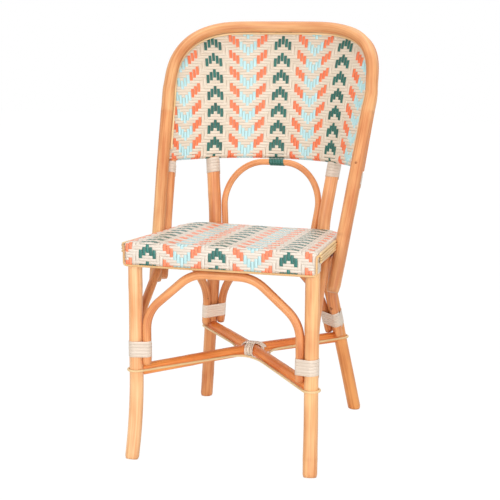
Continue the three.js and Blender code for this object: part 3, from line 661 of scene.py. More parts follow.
def beside_hoop(stations):
    """Carries a row of places on the outer hoop to the inner one, behind it and turned inward."""
    _, behind, within = around_hoop(stations)
    climb = np.clip((stations[:, 2] - BACK_Z) / (BACK_TOP - BACK_Z), 0, 1)
    turn = np.radians(8 + 10 * climb)[:, None]
    apart = HOOP + FIT + np.where(stations[:, 2] < BACK_Z, 0, WEAVE + FIT)[:, None]
    return stations + behind * apart * np.cos(turn) + within * apart * np.sin(turn)


low = outer_line(SEAT_Z - 100)
row = np.vstack([low, outer_line(BACK_Z), outer_curve, mirror(outer_line(BACK_Z)), mirror(low)])
inner_hoop = beside_hoop(row)
outer_path = smooth_path(np.vstack([hoop_end, outer_curve, mirror(hoop_end)]), 420)
inner_path = smooth_path(inner_hoop, 400)

# %% [markdown]
# The outer hoop was bent from a pole whose lengths between the rings differ in tone, so it carries
# shades. The inner hoop lies hard against the back of the weave and is shaved there, as a maker would.

# %% Hoops
def shaved_behind(points):
    """A pole's points, cut back where they would come through the woven panel in front of them."""
    x, y, z = points.T
    radius, centre = circle_at(z)
    least = radius + 1.6 - 0.3 * np.maximum(BACK_Z - 12 - z, 0)
    grown = np.maximum(1, least / np.hypot(x, y - centre))
    return np.column_stack([x * grown, centre + (y - centre) * grown, z])


outer_rings = [near(outer_path, *place) for place in ((1, 454), (1, 700), (-1, 692), (-1, 420))]
inner_rings = [near(inner_path, *place) for place in ((1, 510), (1, 800), (-1, 760), (-1, 450))]
low_ring, right_ring, left_ring = outer_rings[:3]
outer_shades = [
    (0, 0.4), (low_ring, 0.5), (low_ring + 80, 0.75), (right_ring - 3, 0.85), (right_ring + 3, 0.5),
    (left_ring - 200, 0.4), (left_ring - 3, 0.4), (left_ring + 3, 1.0), (left_ring + 120, 0.8),
    (left_ring + 220, 0.1),
]
pole("hoop_outer", outer_path, HOOP, hoop_finish, "front_hoop", outer_rings, 4.1, slim=0.1, shades=outer_shades)
pole("hoop_inner", inner_path, HOOP, pole_finish, "rear_hoop", inner_rings, 5.2, shave=shaved_behind)

# %% Bottom rail of the back
ROLL_Z, ROLL, RAIL = 597, 10.5, 17
RAIL_ARC = LOW_ARC - 13
rail_path = barrel(np.linspace(-RAIL_ARC, RAIL_ARC, 60), ROLL_Z, ROLL)
pole("bottom_rail", rail_path, RAIL, pole_finish, "panel_bottom_rail", seed=0.9)

# %% [markdown]
# ## Seat frame
#
# Under the weave a pole is bent round the sides and the rear of the seat, and two level rails join the
# front legs: one behind the top of the apron and one below it. Little of them shows, but they carry the
# weave, and their edges show from below.

# %% Seat frame
REAR_CORNER = 72
bow_inset, bow_drop = WEAVE + 2 * FIT + BOW / 2, WEAVE + FIT + BOW / 2


def seat_outline(inset, start_y):
    """The edge of the seat from a depth on its right side to the middle of its rear."""
    front_x, rear_x = seat_half(SEAT_FRONT) - inset, seat_half(SEAT_REAR) - inset
    front, rear = SEAT_FRONT + inset, SEAT_REAR - inset
    start = at(front_x + (rear_x - front_x) / (rear - front) * (start_y - front), start_y, 0)
    return bend([start, at(rear_x, rear, 0), at(0, rear, 0)], [REAR_CORNER - inset / 2])


def crosswise(y, z):
    """A level path from front leg to front leg."""
    reach = FRONT_X - FRONT_LEG / 4
    return np.array([at(-reach, y, z), at(reach, y, z)])


bow_side = seat_outline(bow_inset, FRONT_Y + FRONT_LEG / 2 + 1)
bow_side[:, 2] = seat_top(bow_side[:, 1]) - bow_drop
bow_path = np.vstack([bow_side, mirror(bow_side)[::-1][1:]])
pole("seat_bow_pole", bow_path, BOW, pole_finish, "seat_bow", [200, 520, 760], 1.3)
rail_y = SEAT_FRONT + WEAVE + FIT + FRONT_RAIL / 2
rail_z = seat_top(rail_y + FRONT_RAIL / 2) - WEAVE - FIT - FRONT_RAIL / 2
pole("front_rail_pole", crosswise(rail_y, rail_z), FRONT_RAIL, pole_finish, "seat_front_rail", seed=2.2)
arch_top = SEAT_Z - 63.3
lower_z = arch_top + ARCH / 2 + FIT + LOWER_RAIL / 2
pole("lower_rail_pole", crosswise(FRONT_Y, lower_z), LOWER_RAIL, pole_finish, "seat_lower_rail", seed=2.9)

# %% [markdown]
# ## Arches
#
# Thinner poles, bent to arches, brace the legs below the seat on all four sides, and one more stands
# between the posts. Their feet run down beside the legs and are bound to them, so each foot follows its
# leg's own slope, at half of both diameters from the leg's middle.

# %% Arches below the seat
BENDS = [36, 30, 30, 36]


def beside(leg):
    """How far the middle of an arch's foot lies from the middle of a leg."""
    return leg / 2 + ARCH / 2 + FIT


arch_x = FRONT_X - beside(FRONT_LEG)
rear_axis = unit(waist_point - foot)
to_middle = square_to(rear_axis, at(-1, 0, 0))
to_front = square_to(rear_axis, at(math.sin(math.radians(12)), -math.cos(math.radians(12)), 0))
side_run = unit(at(foot[0] - FRONT_X, foot[1] - FRONT_Y, 0))
arch_drop = bow_drop + BOW / 2 + ARCH / 2 + FIT


def by_rear_leg(z, way):
    return rear_leg_at(z) + way * beside(REAR_LEG)


def by_front_leg(z):
    return at(FRONT_X, FRONT_Y, z) + side_run * beside(FRONT_LEG)


def both_halves(right, left):
    return bend([*right, *[mirror(p) for p in left[::-1]]], BENDS)


def front_half(low):
    return [at(arch_x, FRONT_Y, low), at(arch_x, FRONT_Y, 307.5), at(64.5, FRONT_Y, arch_top)]


def rear_half(low):
    y = SEAT_REAR - bow_inset
    return [by_rear_leg(low, to_middle), by_rear_leg(281, to_middle), at(28, y, seat_top(y) - arch_drop)]


def side_arch(front_low, rear_low):
    crown = [at(seat_half(y) - bow_inset, y, seat_top(y) - arch_drop) for y in (-15, 76)]
    rear = [by_rear_leg(285, to_front), by_rear_leg(rear_low, to_front)]
    return bend([by_front_leg(front_low), by_front_leg(294), *crown, *rear], BENDS)


for name, path, node, rings, seed in [
    ("arch_front", both_halves(front_half(188), front_half(198)), "front_arch", [70, 330, 560], 3.7),
    ("arch_rear", both_halves(rear_half(198), rear_half(204)), "rear_arch", [110, 400], 4.6),
    ("arch_right", side_arch(191, 198), "side_arch_right", [150, 420], 5.8),
    ("arch_left", mirror(side_arch(198, 204)), "side_arch_left", [210, 380], 6.1),
]:
    pole(name, path, ARCH, arch_finish, node, rings, seed)

# %% Arch between the posts
SETBACK, CROWN_X, CROWN_BACK = 8, 22, 7
spring_z, apex_z = SEAT_Z + 32, BACK_Z - 17
apart = math.sqrt((REAR_LEG / 2 + BACK_ARCH / 2 + FIT) ** 2 - SETBACK**2)
spring_x = post_at(spring_z)[0] - apart


def arch_y(z):
    return post_at(z)[1] + SETBACK + CROWN_BACK * max(0, (z - WAIST_Z) / (apex_z - WAIST_Z)) ** 2


sweep = np.linspace(0, math.pi / 2, 24)
arch_xs = np.concatenate([[post_at(WAIST_Z)[0] - apart] * 2, CROWN_X + (spring_x - CROWN_X) * np.cos(sweep)])
arch_zs = np.concatenate([[WAIST_Z - 5, WAIST_Z], spring_z + (apex_z - spring_z) * np.sin(sweep)])
half = np.array([at(x, arch_y(z), z) for x, z in zip(arch_xs, arch_zs)])
arch_path = leaning(smooth_path(np.vstack([half, mirror(half)[::-1]]), 140))
pole("arch_back", arch_path, BACK_ARCH, pole_finish, "back_arch", [120, 335], 0.2)

# %% [markdown]
# ## Crossed stretchers
#
# Two straight poles run from leg to leg and are half lapped where they meet. A round cane runs along
# them and round each leg, and a lashing of flat strand holds the crossing.

# %% Stretchers
LET_IN = 3
ends = {
    "front_right": at(FRONT_X, FRONT_Y, 177), "front_left": at(-FRONT_X, FRONT_Y, 184),
    "rear_right": rear_leg_at(183), "rear_left": mirror(rear_leg_at(190)),
}
share = FRONT_X / (FRONT_X + ends["rear_right"][0])
crossing = ends["front_left"] + (ends["rear_right"] - ends["front_left"]) * share
crossing[0], crossing[2] = 0, 189


def inward(end, beyond):
    """An end that starts on a leg's middle line, moved to where it is let into the leg's surface."""
    return end + unit(beyond - end) * (FRONT_LEG / 2 - LET_IN)


def stretcher(name, start, end, node, seed):
    run = bend([start, crossing, end], [30])
    run[0], run[-1] = inward(run[0], run[1]), inward(run[-1], run[-2])
    pole(name, run, STRETCHER, stretcher_finish, node, [118, 410], seed)


stretcher("stretcher_left_front", ends["front_left"], ends["rear_right"], "stretcher_low", 1.1)
stretcher("stretcher_right_front", ends["front_right"], ends["rear_left"], "stretcher_high", 2.4)

# %% Cane along the stretchers
NOTCH_Z, ROUND_LEG = 184, 24
arm_reach = STRETCHER / 2 + CANE / 2 + FIT
# For each leg: the cane's height there, the leg's width, and how far from the crossing the cane bends.
corners = [
    (at(-FRONT_X, FRONT_Y, 186), FRONT_LEG, 52), (at(FRONT_X, FRONT_Y, 173), FRONT_LEG, 76),
    (rear_leg_at(184), REAR_LEG / rear_axis[2], 52), (mirror(rear_leg_at(187)), REAR_LEG / rear_axis[2], 76),
]


def flat(place):
    return place * (1, 1, 0)


def arm_of(place):
    return unit(flat(place) - flat(crossing))


def leaving(notch, place, back):
    """A place on the cane, some way from a notch of the crossing towards a leg."""
    rise = (place[2] - NOTCH_Z) * back / np.linalg.norm(flat(place) - flat(crossing))
    return notch + arm_of(place) * back + at(0, 0, rise)


loop = []
for (leg, width, setback), (after, _, next_setback) in zip(corners, corners[1:] + corners[:1]):
    arm = arm_of(leg)
    side = at(-arm[1], arm[0], 0)
    for turned in np.linspace(-math.pi / 2, math.pi / 2, ROUND_LEG):
        loop.append(leg + (arm * math.cos(turned) + side * math.sin(turned)) * (width / 2 + CANE / 2 + FIT))
    middle = unit(arm + arm_of(after))
    notch = flat(crossing) + middle * arm_reach / math.sin(math.acos(arm.dot(middle))) + at(0, 0, NOTCH_Z)
    loop += curve(leaving(notch, leg, setback), notch, leaving(notch, after, next_setback), 20)
# The two ends of the cane meet a little past the first leg.
first = loop[ROUND_LEG - 1] * 0.28 + loop[ROUND_LEG] * 0.72
loop = smooth_path(np.array([first, *loop[ROUND_LEG:], *loop[:ROUND_LEG], first - at(0.3, 0, 0)]), 900, 2)
thin = {"slot": "pale_cane", "sides": 14, "gap": 3.0}
pole("cane_loop", loop, CANE, cane_finish, "stretcher_cane", [300, 690, 1200, 1600], 3.1, **thin)

# %% [markdown]
# ## Weaving
#
# The pattern is a pointed twill: each lengthwise strand passes over three cross strands and then under
# three, one row later than its neighbour, and the order turns round at the middle of each motif, which
# gives the arrowheads. The cross strands are all cream, and the colour of the lengthwise ones changes
# in a repeat of twenty: green, cream, orange, blue and back. One function of the row and of the
# distance from a green middle tells both strands of a crossing which of them is on top.

# %% The twill's heights
ROWS, REPEAT = 6, 20
# How far a strand goes up or down from the middle of the weave, how steeply, and how thick it is.
LIFT, STEEP, THICK = 0.75, 2.6, 1.2
# The row past the point of the arrowheads lies a little farther on.
APEX_GAP = 0.9


def strand_lift(rows, from_green):
    """+1 where the lengthwise strand is on top, -1 where it is below, with a smooth pass between."""
    wave = STEEP * np.sin(np.pi * (rows - from_green) / (ROWS / 2))
    return wave / (1 + np.abs(wave) ** 3) ** (1 / 3)


def from_green(column):
    column = np.mod(column, REPEAT)
    return np.minimum(column, REPEAT - column)


def colour_of(column):
    away = from_green(column)
    return "green" if away <= 2 else "cream" if away <= 4 else "orange" if away <= 7 else "blue"


# %% A flat strand
def flat_section(stick, width, thick=THICK):
    """The straight stick squeezed to a flat strand with rounded edges."""
    straight = points_of(stick)
    angle = np.arctan2(straight[:, 1], straight[:, 0])
    wide = np.sign(np.cos(angle)) * np.abs(np.cos(angle)) ** 0.3 * width / 2
    deep = np.sign(np.sin(angle)) * np.abs(np.sin(angle)) ** 0.5 * thick / 2
    return wide, deep, straight[:, 2]


def woven_strand(section, place, run_length, seed):
    """Moves one strand's points to a surface: place(share, wide, deep) gives them in the maker's frame."""
    wide, deep, share = section
    return place(share, wide, deep), np.column_stack([wide + 13 * seed, deep + 7 * seed, share * run_length])


def woven_piece(name, stick, strands, material, node=None):
    """All strands of one kind as one piece."""
    bent, straight = zip(*strands)
    thing = piece(name, stick, bent, straight, material, node)
    print(name, len(bent), "strands,", len(thing.data.polygons), "faces")


# %% [markdown]
# ## The woven back
#
# Lengthwise strands hang from the top of the hoops, run down the barrel and wrap the bottom rail. They
# fan out with height, because the barrel opens. Cross strands run from side to side between the hoops.
# A woven picture on one smooth skin would be quicker, but it has no gaps between its strands, and its
# edge is a clean line where the real one shows the strands' turns.

# %% The back's surface
APEX_Z, ROW_PITCH = 597.5, 37.4 / ROWS
STRAIGHT = BACK_TOP - ROLL_Z


def column_pitch(z):
    return 7.15 + 1.44e-5 * (np.asarray(z, float) - BACK_Z) ** 2


def column_drift(column, z):
    """Every column leans a little to the left near the top, the outer ones most."""
    return 3.3 * (column / REPEAT) ** 2 * np.clip((np.asarray(z, float) - 640) / 180, 0, 1)


def column_arc(column, z):
    return column * column_pitch(z) + 2 - column_drift(column, z)


def back_half(z):
    """Half the skin's arc at a height."""
    z = np.asarray(z, float)
    rise = over_top(z) ** (1 / SQUARENESS)
    corner = FLAT_ARC + CORNER_ARC * np.clip(np.cos(np.arcsin(np.clip(rise, 0, 1))), 0, 1) ** SQUARENESS
    side = LOW_ARC + (HALF_ARC - LOW_ARC) * np.clip((z - BACK_Z) / (SHOULDER - BACK_Z), 0, 1)
    return np.where(z > SHOULDER, corner, side)


def down_the_back(drop):
    """Height and distance behind the barrel for a path that runs down, round the rail and up behind."""
    drop = np.asarray(drop, float)
    turn = np.clip((drop - STRAIGHT) / ROLL, 0, math.pi)
    rest = np.maximum(drop - STRAIGHT - math.pi * ROLL, 0)
    z = np.where(drop < STRAIGHT, BACK_TOP - drop, ROLL_Z - ROLL * np.sin(turn) + rest)
    return z, ROLL * (1 - np.cos(turn))


def surface_back(arc, drop, lift):
    """A place on the back, lifted square off the surface (towards the sitter for a positive lift)."""
    z, behind = down_the_back(drop)
    z2, behind2 = down_the_back(np.asarray(drop) + 0.5)
    slope = np.stack([behind2 - behind, z2 - z])
    slope /= np.linalg.norm(slope, axis=0) + 1e-9
    return barrel(arc, z - lift * slope[0], behind + lift * slope[1])


# %% Lengthwise strands of the back
BACK_STEPS, LAST_COLUMN, TAIL, UNDER_HOOP, TUCKED = 156, 40, 8, 9, 7
ROLL_ARC = LOW_ARC - 16
back_stick = straight_stick(8, BACK_STEPS)
section = flat_section(back_stick, 6.6)
strips = {colour: [] for colour in back_colours}
for column in range(-LAST_COLUMN, LAST_COLUMN + 1):
    # A strand wraps the bottom rail where the rail is there, and ends at the roll beside it.
    wraps = abs(float(column_arc(column, ROLL_Z))) < ROLL_ARC
    last = STRAIGHT + math.pi * ROLL + TAIL if wraps else STRAIGHT - 2
    # It starts just under the hoop: where its arc first comes within the skin's outline.
    drops = np.linspace(-4, last, 700)
    zs = down_the_back(drops)[0]
    reach = np.where(drops > STRAIGHT, np.inf, back_half(np.minimum(zs, BACK_TOP - 0.5)))
    inside = np.abs(column_arc(column, zs)) < reach - UNDER_HOOP
    if not inside.any():
        continue
    first = drops[inside][0] - TUCKED

    def place(share, wide, deep):
        drop = first + share * (last - first)
        z = down_the_back(drop)[0]
        arc = column_arc(column, np.where(drop > STRAIGHT, ROLL_Z, z))
        rows = (drop - (BACK_TOP - APEX_Z)) / ROW_PITCH
        on_roll = np.clip((drop - STRAIGHT - 3) / 4, 0, 1)
        lift = LIFT * strand_lift(rows, from_green(column)) * (1 - on_roll) + deep
        return surface_back(arc + wide, drop, lift)

    strips[colour_of(column)].append(woven_strand(section, place, last - first, column + 50))

for colour, strands in strips.items():
    woven_piece(f"back_{colour}_strands", back_stick, strands, back_colours[colour])

# %% Cross strands of the back
WEFT_STEPS, BEHIND_ROWS = 200, (4, 5)
weft_stick = straight_stick(8, WEFT_STEPS)
section = flat_section(weft_stick, 6.15)
wefts = []
first_row = -int((BACK_TOP + 4 - APEX_Z) / ROW_PITCH)
for number in [*range(first_row, 1), *BEHIND_ROWS]:
    # Two rows lie behind, over the tails of the lengthwise strands.
    in_front = number not in BEHIND_ROWS
    drop = BACK_TOP - APEX_Z + (number + 0.5) * ROW_PITCH + (APEX_GAP if number == 0 else 0)
    z = float(down_the_back(drop)[0])
    half_arc = float(back_half(min(z, BACK_TOP - 3))) - 4 if in_front else LOW_ARC - 19

    def place(share, wide, deep):
        arc = half_arc * (2 * share - 1)
        column = (arc - 2) / column_pitch(z)
        column = column + column_drift(column, z) / column_pitch(z)
        lift = -LIFT * strand_lift(number + 0.5, from_green(column)) if in_front else LIFT
        return surface_back(arc, drop - wide, lift + deep)

    wefts.append(woven_strand(section, place, 2 * half_arc, number + 90))
woven_piece("back_cross_strands", weft_stick, wefts, back_colours["cream"], "back_panel_weave")

# %% [markdown]
# ## The woven seat
#
# The same twill covers the seat. Lengthwise strands start at the foot of the apron, climb it, turn over
# the front rail, run back and turn down behind. Cross strands run over the top and down both sides.
# Both kinds follow one strip that climbs a wall, turns over an edge, runs flat and turns down again.

# %% A strip over two edges
EDGE, CORNER = 9, 12
APRON, SKIRT, RETURN = 49, 29, 34


def over_edges(run, flat_length, first_wall, edge):
    """A strip that climbs a wall, turns over an edge, runs flat, and turns down again.
    Gives the distance along the flat, the depth below it, and the strip's direction in that plane."""
    def place(run):
        up = run - (first_wall - edge)
        turn = np.clip(up / edge, 0, math.pi / 2)
        flat_run = np.clip(up - edge * math.pi / 2, 0, flat_length - 2 * edge)
        last = np.clip((up - edge * math.pi / 2 - flat_length + 2 * edge) / edge, 0, math.pi / 2)
        tail = np.maximum(up - edge * math.pi - flat_length + 2 * edge, 0)
        depth = np.where(up < 0, edge - up, edge * (1 - np.sin(turn))) + edge * (1 - np.cos(last)) + tail
        return edge * (1 - np.cos(turn)) + flat_run + edge * np.sin(last), depth
    run = np.asarray(run, float)
    ahead, depth = place(run)
    ahead2, depth2 = place(run + 0.4)
    size = np.hypot(ahead2 - ahead, depth2 - depth) + 1e-9
    return ahead, depth, (ahead2 - ahead) / size, (depth - depth2) / size


def strip_length(flat_length, first_wall, last_wall, edge=EDGE):
    return first_wall + last_wall + flat_length - (4 - math.pi) * edge


# %% The seat's surface
SEAT_PITCH = 35.0 / ROWS
APEX_RUN = APRON - 2.6
CURVE_Y = 40
rear_curve = seat_outline(0, CURVE_Y)


def rear_edge(x):
    """Where the seat's outline ends behind, for a given distance from the middle."""
    return float(np.interp(abs(x), rear_curve[::-1, 0], rear_curve[::-1, 1]))


def side_edge(y):
    """Half the seat's width at a given depth."""
    y = np.asarray(y, float)
    return np.where(y > CURVE_Y, np.interp(y, rear_curve[:, 1], rear_curve[:, 0]), seat_half(y))


def woven_top(x, y):
    """The weave's height. It rises a little more than the frame behind on the left."""
    back = np.clip((y - SEAT_FRONT) / SEAT_DEPTH, 0, 1)
    return seat_top(y) + back * np.clip(0.8 - 0.02 * x, 0, 3.8)


def rounding(past, radius):
    """How far a rounded edge falls short of a square one, at a distance past its start."""
    past = np.clip(past, 0, radius)
    return radius - np.sqrt(radius**2 - past**2)


def side_drop(x, y):
    """How far a strand sinks where the side edge is rounded."""
    return rounding(np.abs(x) - side_edge(y) + EDGE, EDGE)


def corner_back(x):
    """How far the rounded front corner stands back at a distance from the middle."""
    return rounding(np.abs(x) - (FRONT_HALF - CORNER), CORNER)


def near_front(ahead):
    """1 at the front edge, fading to 0 a little way behind it."""
    return np.clip(1 - ahead / 14, 0, 1)


def seat_column_x(column, y):
    """The columns lean and close up a little towards the rear."""
    t = (y - SEAT_FRONT) / SEAT_DEPTH
    return -3 - 6 * t + column * (7.28 - 0.5 * t)


def column_at(x, y):
    return (x - seat_column_x(0, y)) / (seat_column_x(1, y) - seat_column_x(0, y))


# %% Lengthwise strands of the seat
SEAT_STEPS, OUTER_COLUMN = 216, 27
seat_stick = straight_stick(8, SEAT_STEPS)
section = flat_section(seat_stick, 6.7)
strips = {colour: [] for colour in seat_colours}
for column in range(-OUTER_COLUMN, OUTER_COLUMN + 1):
    if abs(seat_column_x(column, SEAT_FRONT)) > FRONT_HALF - 5:
        continue
    flat_length = rear_edge(seat_column_x(column, 120)) - SEAT_FRONT
    total = strip_length(flat_length, APRON, SKIRT - 1)
    # A strand near the side ends where the narrowing seat leaves it.
    depths = np.linspace(SEAT_FRONT, SEAT_FRONT + flat_length, 200)
    past = [abs(seat_column_x(column, y)) > side_edge(y) - 3 for y in depths]
    if any(past):
        total = APRON - EDGE + EDGE * math.pi / 2 + depths[past.index(True)] - SEAT_FRONT - EDGE

    def place(share, wide, deep):
        ahead, depth, forward, upward = over_edges(share * total, flat_length, APRON, EDGE)
        rows = (APEX_RUN - share * total) / SEAT_PITCH
        lift = LIFT * strand_lift(rows, from_green(column)) + deep - WEAVE / 2
        y = SEAT_FRONT + ahead - lift * upward
        x = seat_column_x(column, y) + wide
        y = y + corner_back(x) * near_front(ahead)
        top = woven_top(x, y) - side_drop(x, y) * (1 - near_front(ahead))
        return np.stack([x, y, top - depth + lift * forward], -1)

    colour = "cream" if abs(column) == OUTER_COLUMN else colour_of(column)
    strips[colour].append(woven_strand(section, place, total, column + 40))

for colour, strands in strips.items():
    woven_piece(f"seat_{colour}_strands", seat_stick, strands, seat_colours[colour])

# %% [markdown]
# The cross strands are counted from the foot of the apron. Those of the apron's front turn round its
# upright corners and run back a little way. The others run over the top and down both sides, and near
# the rear they follow the rounded corners of the seat.

# %% Cross strands of the seat
CROSS_STEPS, FIRST_ROW = 156, 6
cross_stick = straight_stick(8, CROSS_STEPS)
section = flat_section(cross_stick, 5.8)
wefts = []
for number in itertools.count(FIRST_ROW, -1):
    run = APEX_RUN - (number + 0.5) * SEAT_PITCH + (APEX_GAP if number < 0 else 0)
    if run > strip_length(SEAT_DEPTH, APRON, SKIRT - 2):
        break
    ahead, depth = (float(v) for v in over_edges(run, SEAT_DEPTH, APRON, EDGE)[:2])
    row_y = SEAT_FRONT + ahead
    if depth > EDGE - 2 and ahead < EDGE:
        total = strip_length(2 * FRONT_HALF, RETURN, RETURN, CORNER)

        def place(share, wide, deep):
            over, back, forward, sideways = over_edges(share * total, 2 * FRONT_HALF, RETURN, CORNER)
            x = over - FRONT_HALF
            woven = np.clip((FRONT_HALF - 6 - np.abs(x)) / 5, 0, 1)
            twill = strand_lift(number + 0.5, from_green(column_at(x, SEAT_FRONT)))
            lift = -LIFT * twill * woven + deep - WEAVE / 2
            y = SEAT_FRONT + back - lift * forward
            x = (x - lift * sideways) * seat_half(y) / FRONT_HALF
            return np.stack([x, y, SEAT_Z - depth + wide], -1)
    else:
        follows = ahead < SEAT_DEPTH - 2
        half_width = float(side_edge(min(row_y, SEAT_REAR - 4))) if follows else REAR_HALF - 50
        down = SKIRT - 1 if row_y > SEAT_FRONT + RETURN + 2 else EDGE + 2
        total = strip_length(2 * half_width, down, down)

        def place(share, wide, deep):
            over, below, flat, sideways = over_edges(share * total, 2 * half_width, down, EDGE)
            along, depth, forward, upward = over_edges(run + wide, SEAT_DEPTH, APRON, EDGE)
            outer = side_edge(np.minimum(SEAT_FRONT + along, SEAT_REAR - 1)) if follows else half_width
            x = (over - half_width) * outer / half_width
            woven = np.clip((half_width - 8 - np.abs(x)) / 6, 0, 1)
            twill = strand_lift(number + 0.5, from_green(column_at(x, row_y)))
            lift = -LIFT * twill * woven + deep - WEAVE / 2
            y = SEAT_FRONT + along + corner_back(x) * near_front(ahead) - lift * upward * flat
            top = woven_top(x, y) - depth - below
            return np.stack([x - lift * sideways, y, top + lift * forward * flat], -1)

    wefts.append(woven_strand(section, place, total, number + 120))
woven_piece("seat_cross_strands", cross_stick, wefts, seat_colours["cream"], "seat_weave")

# %% [markdown]
# ## Canes on the seat and back
#
# Thin round cane hides the edges of the weave. One length borders the apron, four lie one below the
# other on each side of the seat, and one runs inside the hoops of the back. They are poles like the
# others, only thinner, so the same function bends them.

# %% Canes of the seat
APRON_CANE = 4.4
cane_x, cane_y = FRONT_HALF - 3.9, SEAT_FRONT + 0.2
low_y, low_z, high_z = SEAT_FRONT - APRON_CANE / 2 - 0.2, SEAT_Z - APRON + 1.6, SEAT_Z - EDGE


def beside_seat(y, below):
    """A place on a cane that lies on the seat's right side, at a depth below the top."""
    rounded = EDGE - math.sqrt(EDGE**2 - max(0, EDGE - below) ** 2)
    return at(seat_half(y) + CANE / 2 + FIT - rounded, y, seat_top(y) - below)


cane_start, cane_end = SEAT_FRONT + 8, outer_line(SEAT_Z)[1] - HOOP / 2 - 2
half = [at(cane_x, cane_y, high_z), at(cane_x, cane_y, low_z), at(cane_x - 14, low_y, low_z)]
half = [beside_seat(cane_start, 7), *half]
apron_path = bend([mirror(p) for p in half] + half[::-1], [6, 6, 5, 5, 6, 6], 8)
pole("apron_cane_round", apron_path, APRON_CANE, edge_cane_finish, "apron_cane", [240], 1.7, **thin)
for number, below in enumerate((4.5, 9.8, 15.1, 20.4)):
    right = np.array([beside_seat(cane_start, below), beside_seat(cane_end, below)])
    for word, run in (("right", right), ("left", mirror(right))):
        # The model has one cane on each side, the second from the top.
        node = f"side_cane_{word}" if number == 1 else None
        name = f"side_cane_round_{word}_{number}"
        pole(name, run, CANE, cane_finish, node, seed=2.8 + number, slot="pale_cane", sides=14)

# %% Cane inside the hoops
trim_arcs, trim_rises = outline(40, HOOP / 2 + CANE / 2 + 1)
trim_lift = -(WEAVE + CANE) / 2 - 2
nearer = np.sign(trim_arcs) * 2.5 * (1 - over_top(trim_rises))
trim = barrel(trim_arcs + nearer, trim_rises + 2.4 * over_top(trim_rises), trim_lift)
low_point = outer_line(BACK_Z + ROLL + CANE)
low_radius, low_centre = circle_at(low_point[2])
low_arc = math.atan2(low_point[0], low_point[1] - low_centre) * low_radius - (HOOP + CANE) / 2 + 1.5
start = barrel(low_arc, low_point[2], trim_lift)
trim_path = smooth_path(np.vstack([start, trim, mirror(start)]), 320)
pole("trim_cane_round", trim_path, CANE, cane_finish, "panel_trim_cane", [180, 520, 800], 4.4, **thin)

# %% [markdown]
# A split cane is half of a thick one: round outside, flat inside. It covers the back of the inner hoop,
# where the strands of the weave are tucked in. It is the same straight stick, squeezed to a flat
# section, with its middle lifted and its edges laid down on the hoop.

# %% Split cane behind the inner hoop
COVER, COVER_THICK, COVER_TURN = 19, 3.6, math.radians(-18)
cover_at = (BACK_Z - 15 - inner_hoop[0][2]) / (inner_hoop[1][2] - inner_hoop[0][2])
head = inner_hoop[0] + (inner_hoop[1] - inner_hoop[0]) * cover_at
cover_row = smooth_path(np.vstack([head, inner_hoop[2:-2], mirror(head)]), 240)
along, behind, within = around_hoop(cover_row)
outward = behind * math.cos(COVER_TURN) + within * math.sin(COVER_TURN)
sideways = within * math.cos(COVER_TURN) + np.cross(along, within) * math.sin(COVER_TURN)
cover_stick = straight_stick(12, len(cover_row) - 1)
wide, deep, share = flat_section(cover_stick, COVER, COVER_THICK)
ring = np.rint(share * (len(cover_row) - 1)).astype(int)
edge = (wide / (COVER / 2)) ** 2
cover_lift = HOOP / 2 + 2.1 + deep - 4 * 0.65 * edge * (deep > 0) - 1.2 * edge * (deep <= 0)
bent = cover_row[ring] + outward[ring] * cover_lift[:, None] - sideways[ring] * wide[:, None]
memory = np.column_stack([wide, deep, share * distances(cover_row)[-1]])
cover = piece("cover_cane_split", cover_stick, [bent], [memory], pole_finish, "panel_cover_cane")
cover.data.attributes.new("scar", "FLOAT", "POINT")
print("cover_cane_split", round(distances(cover_row)[-1]), "mm long")

# %% [markdown]
# The hoops were bent by hand, so the two upper corners of the back aren't alike. The right one stands
# out farther, and the left one is a little lower and closer. Hoops, weave and canes share this bend.
# It is easier to lay them all out on the even barrel first, and to move their points afterwards.

# %% Uneven corners
OUT_RIGHT, OUT_LEFT, DOWN_RIGHT, DOWN_LEFT = 5.2, 1.6, 2.2, 2.0


def eased(value, start, end):
    """From 0 to 1 between two values, with soft ends."""
    t = np.clip((value - start) / (end - start), 0, 1)
    return t * t * (3 - 2 * t)


def hand_bent(name, spread):
    """Bends a piece of the back; spread says how far from the middle the right corner's bend begins."""
    mesh = bpy.data.objects[name].data
    places = points_of(mesh) * 1000
    x, z = places[:, 0].copy(), places[:, 2].copy()
    right, left, high = eased(x, spread, spread / 5 + 196), eased(-x, 60, 170), eased(z, 780, 850)
    places[:, 0] += OUT_RIGHT * right * eased(z, 690, 840) + OUT_LEFT * left * eased(z, 620, 720)
    places[:, 2] -= DOWN_RIGHT * np.exp(-(((x - 150) / 42) ** 2)) * high + DOWN_LEFT * left * high
    mesh.vertices.foreach_set("co", (places / 1000).ravel())
    mesh.update()


for name in ("hoop_outer", "hoop_inner", "trim_cane_round", "cover_cane_split"):
    hand_bent(name, 70)
for colour in (*back_colours, "cross"):
    hand_bent(f"back_{colour}_strands", 140)
print("uneven corners: four poles and canes, and the weave")

# %% [markdown]
# ## Bindings
#
# At each joint a flat strand is wound round the poles that meet there, turn beside turn. Round two or
# three poles the strand runs straight from one pole to the next, as any wrapped cord does. A helix with
# one radius would cut into them. Here each point asks which pole reaches farthest in its direction, and
# lies on that one.

# %% A wound strand
TURN_STEPS, TURN_PITCH, STRAND_WIDTH, STRAND_THICK = 56, 6.6, 6.65, 0.9


